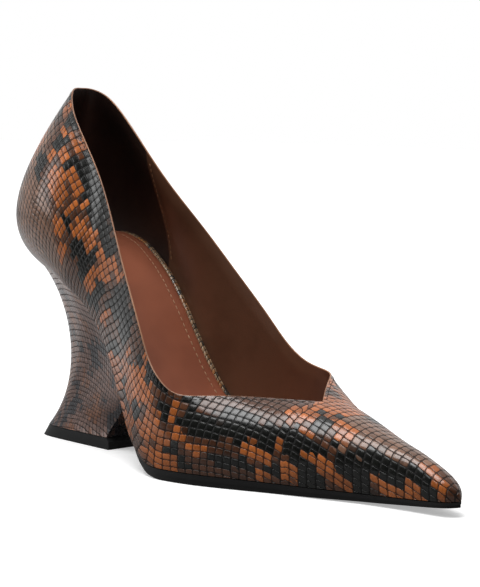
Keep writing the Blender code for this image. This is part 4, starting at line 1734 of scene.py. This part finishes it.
@dataclass(frozen=True)
class Studio:
    """Pale floor, soft lamps, white surroundings and the photo's camera."""

    azimuth: float = -44.0
    elevation: float = 5.69
    roll: float = 1.29
    distance: float = 0.74975
    lens: float = 135.17
    sensor: float = 36.0
    far_clip: float = 50.0
    frame: tuple[int, int] = (480, 587)
    target: tuple[float, float, float] = (0.0100, 0.00169, 0.07123)
    lamps: tuple[Softbox, ...] = (
        Softbox("overhead", (-0.25, 0.00, 1.15), 0.80, 12.5),
        Softbox("left_strip", (-0.80, 0.75, 0.50), 0.35, 1.6),
    )
    floor_size: float = 12.0
    floor_glow: tuple[float, float] = (0.40, 0.80)
    glow_reach: tuple[float, float] = (0.25, 0.90)
    floor_roughness: float = 0.75
    floor_white: float = 0.90
    floor_bounce: float = 0.22
    bright_way: tuple[float, float, float] = (-0.45, 0.89, 0.0)
    bright_reach: tuple[float, float] = (0.10, 0.35)
    room_dark: float = 0.05
    room_bright: float = 0.70
    room_reach: tuple[float, float] = (-0.55, 0.65)
    backdrop: tuple[float, float, float] = (0.69, 0.70, 0.15)

    def axes(self) -> Array:
        """The camera's right, up and backward directions, as columns."""
        a, e, r = np.radians([self.azimuth, self.elevation, self.roll])
        back = np.array([np.sin(a) * np.cos(e), -np.cos(a) * np.cos(e), np.sin(e)])
        right = np.array([np.cos(a), np.sin(a), 0.0])
        up = np.cross(back, right)
        turned = (right * np.cos(r) + up * np.sin(r), up * np.cos(r) - right * np.sin(r))
        return np.stack([*turned, back], axis=1)

    def eye(self) -> Array:
        """Where the camera stands."""
        return np.array(self.target) + self.axes()[:, 2] * self.distance

    def pixels(self, points: Array) -> Array:
        """Places of points in the photo's frame: a pinhole's share of the frame, in pixels."""
        local = (points - self.eye()) @ self.axes()
        scale = self.lens / self.sensor * self.frame[0] / -local[..., 2:]
        return np.array(self.frame) / 2 + local[..., :2] * scale * (1, -1)

    def camera(self) -> None:
        """Sets the camera at the photo's angle to the shoe."""
        data = bpy.data.cameras.new("camera")
        data.lens = self.lens
        data.sensor_width = self.sensor
        data.sensor_fit = "HORIZONTAL"
        data.clip_end = self.far_clip
        bpy.context.scene.camera = stand("camera", data, self.axes(), self.eye())

    def floor(self) -> None:
        """Lays the floor: pale to the camera and behind the shoe, dark to light that bounces ahead."""
        half = self.floor_size / 2
        mesh = bpy.data.meshes.new("floor")
        corners = [(-half, -half, 0.0), (half, -half, 0.0), (half, half, 0.0), (-half, half, 0.0)]
        mesh.from_pydata(corners, [], [(0, 1, 2, 3)])
        graph = MaterialGraph("floor_white")
        place = graph.place()
        seen = graph.camera_ray()
        far = graph.vector("LENGTH", place, output="Value").ease(*self.glow_reach)
        near_glow, far_glow = self.floor_glow
        glow = (near_glow + far * (far_glow - near_glow)) * seen
        behind = graph.vector("DOT_PRODUCT", place, self.bright_way, output="Value")
        lifted = seen.most(behind.ease(*self.bright_reach))
        paint = self.floor_bounce + lifted * (self.floor_white - self.floor_bounce)
        mesh.materials.append(graph.finish(Base_Color=graph.grey(paint), Roughness=self.floor_roughness,
                                           Emission_Color=graph.grey(glow), Emission_Strength=1.0))
        floor = stand("floor", mesh)

    def room(self) -> None:
        """Makes the surroundings: white to the camera, and brighter behind the shoe than ahead."""
        world = bpy.data.worlds.new("studio")
        world.use_nodes = True
        graph = Graph(world.node_tree)
        behind = graph.vector("DOT_PRODUCT", graph.place_of_light(), self.backdrop, output="Value")
        strength = self.room_dark + behind.ease(*self.room_reach) * (self.room_bright - self.room_dark)
        seen = graph.camera_ray()
        colour, level = world.node_tree.nodes["Background"].inputs[:2]
        graph.feed(colour, (1.0, 1.0, 1.0, 1.0))
        graph.feed(level, strength * (1 - seen) + seen)
        bpy.context.scene.world = world

    def build(self) -> None:
        """Adds floor, surroundings, lamps and camera."""
        self.floor()
        self.room()
        for lamp in self.lamps:
            lamp.build(self.target)
        bpy.context.scene.view_settings.view_transform = "Standard"
        self.camera()


def main() -> None:
    """Builds the shoe's pieces in a maker's order, then the studio."""
    logging.basicConfig(level=logging.INFO, format="%(name)s %(message)s")
    last = Last()
    placement = Placement.on_frame(last)
    bed = Bed(last)
    foot = HeelFoot()
    studio = Studio()
    upper = Upper(last, placement)
    # The pale patches are painted sheen, a painted highlight on the counter's back edge and on the vamp's
    # top.
    dark, tan, pale = (upper.patches(blotches, studio)
                       for blotches in (DARK_BLOTCHES, TAN_BLOTCHES, PAINTED_SHEEN_BLOTCHES))
    hide = SnakeLeather("snake_leather", ground=(94, 58, 38), dark=(20, 21, 18), tan=(196, 110, 52),
                        crease_shade=(10, 8, 6), dark_patches=dark, tan_patches=tan, painted_sheen_patches=pale)
    rand = SnakeLeather("rand_leather", ground=(170, 140, 110), dark=(72, 66, 58), tan=(176, 120, 74),
                        crease_shade=(30, 22, 18), dark_level=0.56)
    cover = SnakeLeather("wedge_leather", ground=(136, 106, 96), dark=(64, 62, 66), tan=(158, 110, 86),
                         crease_shade=(44, 34, 32), dark_level=0.55, tan_level=0.42, relief=0.00025)
    lining = SmoothLeather("lining_leather", (116, 80, 60), (98, 66, 48), 0.32)
    heel_lining = SmoothLeather("heel_lining", (58, 40, 34), (46, 32, 28), 0.5)
    edge = SmoothLeather("topline_edge", (176, 124, 90), (140, 96, 70), 0.4)
    sock_leather = SmoothLeather("sock_leather", (154, 88, 62), (142, 80, 56), 0.48)
    sole = MouldedSole("sole_black", (12, 12, 13), (20, 20, 21), 0.42)
    wear = MouldedSole("heel_black", (24, 25, 26), (34, 35, 36), 0.5)
    thread = Thread("tan_thread", (198, 152, 116))
    dark_thread = Thread("dark_thread", (34, 26, 22))
    upper.build(hide, edge, lining, heel_lining)
    fine = Stitching(placement, length=0.0016, pitch=0.0024, width=0.00045, proud=0.00018)
    fine.build("topline_stitches", *upper.topline_seam(), dark_thread, "snake_leather")
    for side in Side:
        fine.build(f"lining_stitches_{side.name.lower()}", *upper.lining_seam(side), thread, "snake_leather")
    Insole(bed, placement).build(rand)
    sock = Sock(bed, placement)
    sock.build(sock_leather)
    Stitching(placement).build("sock_stitches", *sock.seam(), thread, "sock_leather")
    Outsole(bed, placement).build(sole)
    Wedge(bed, foot, placement).build(cover)
    TopPiece(bed, foot, placement).build(wear)
    studio.build()


if __name__ == "__main__":
    main()
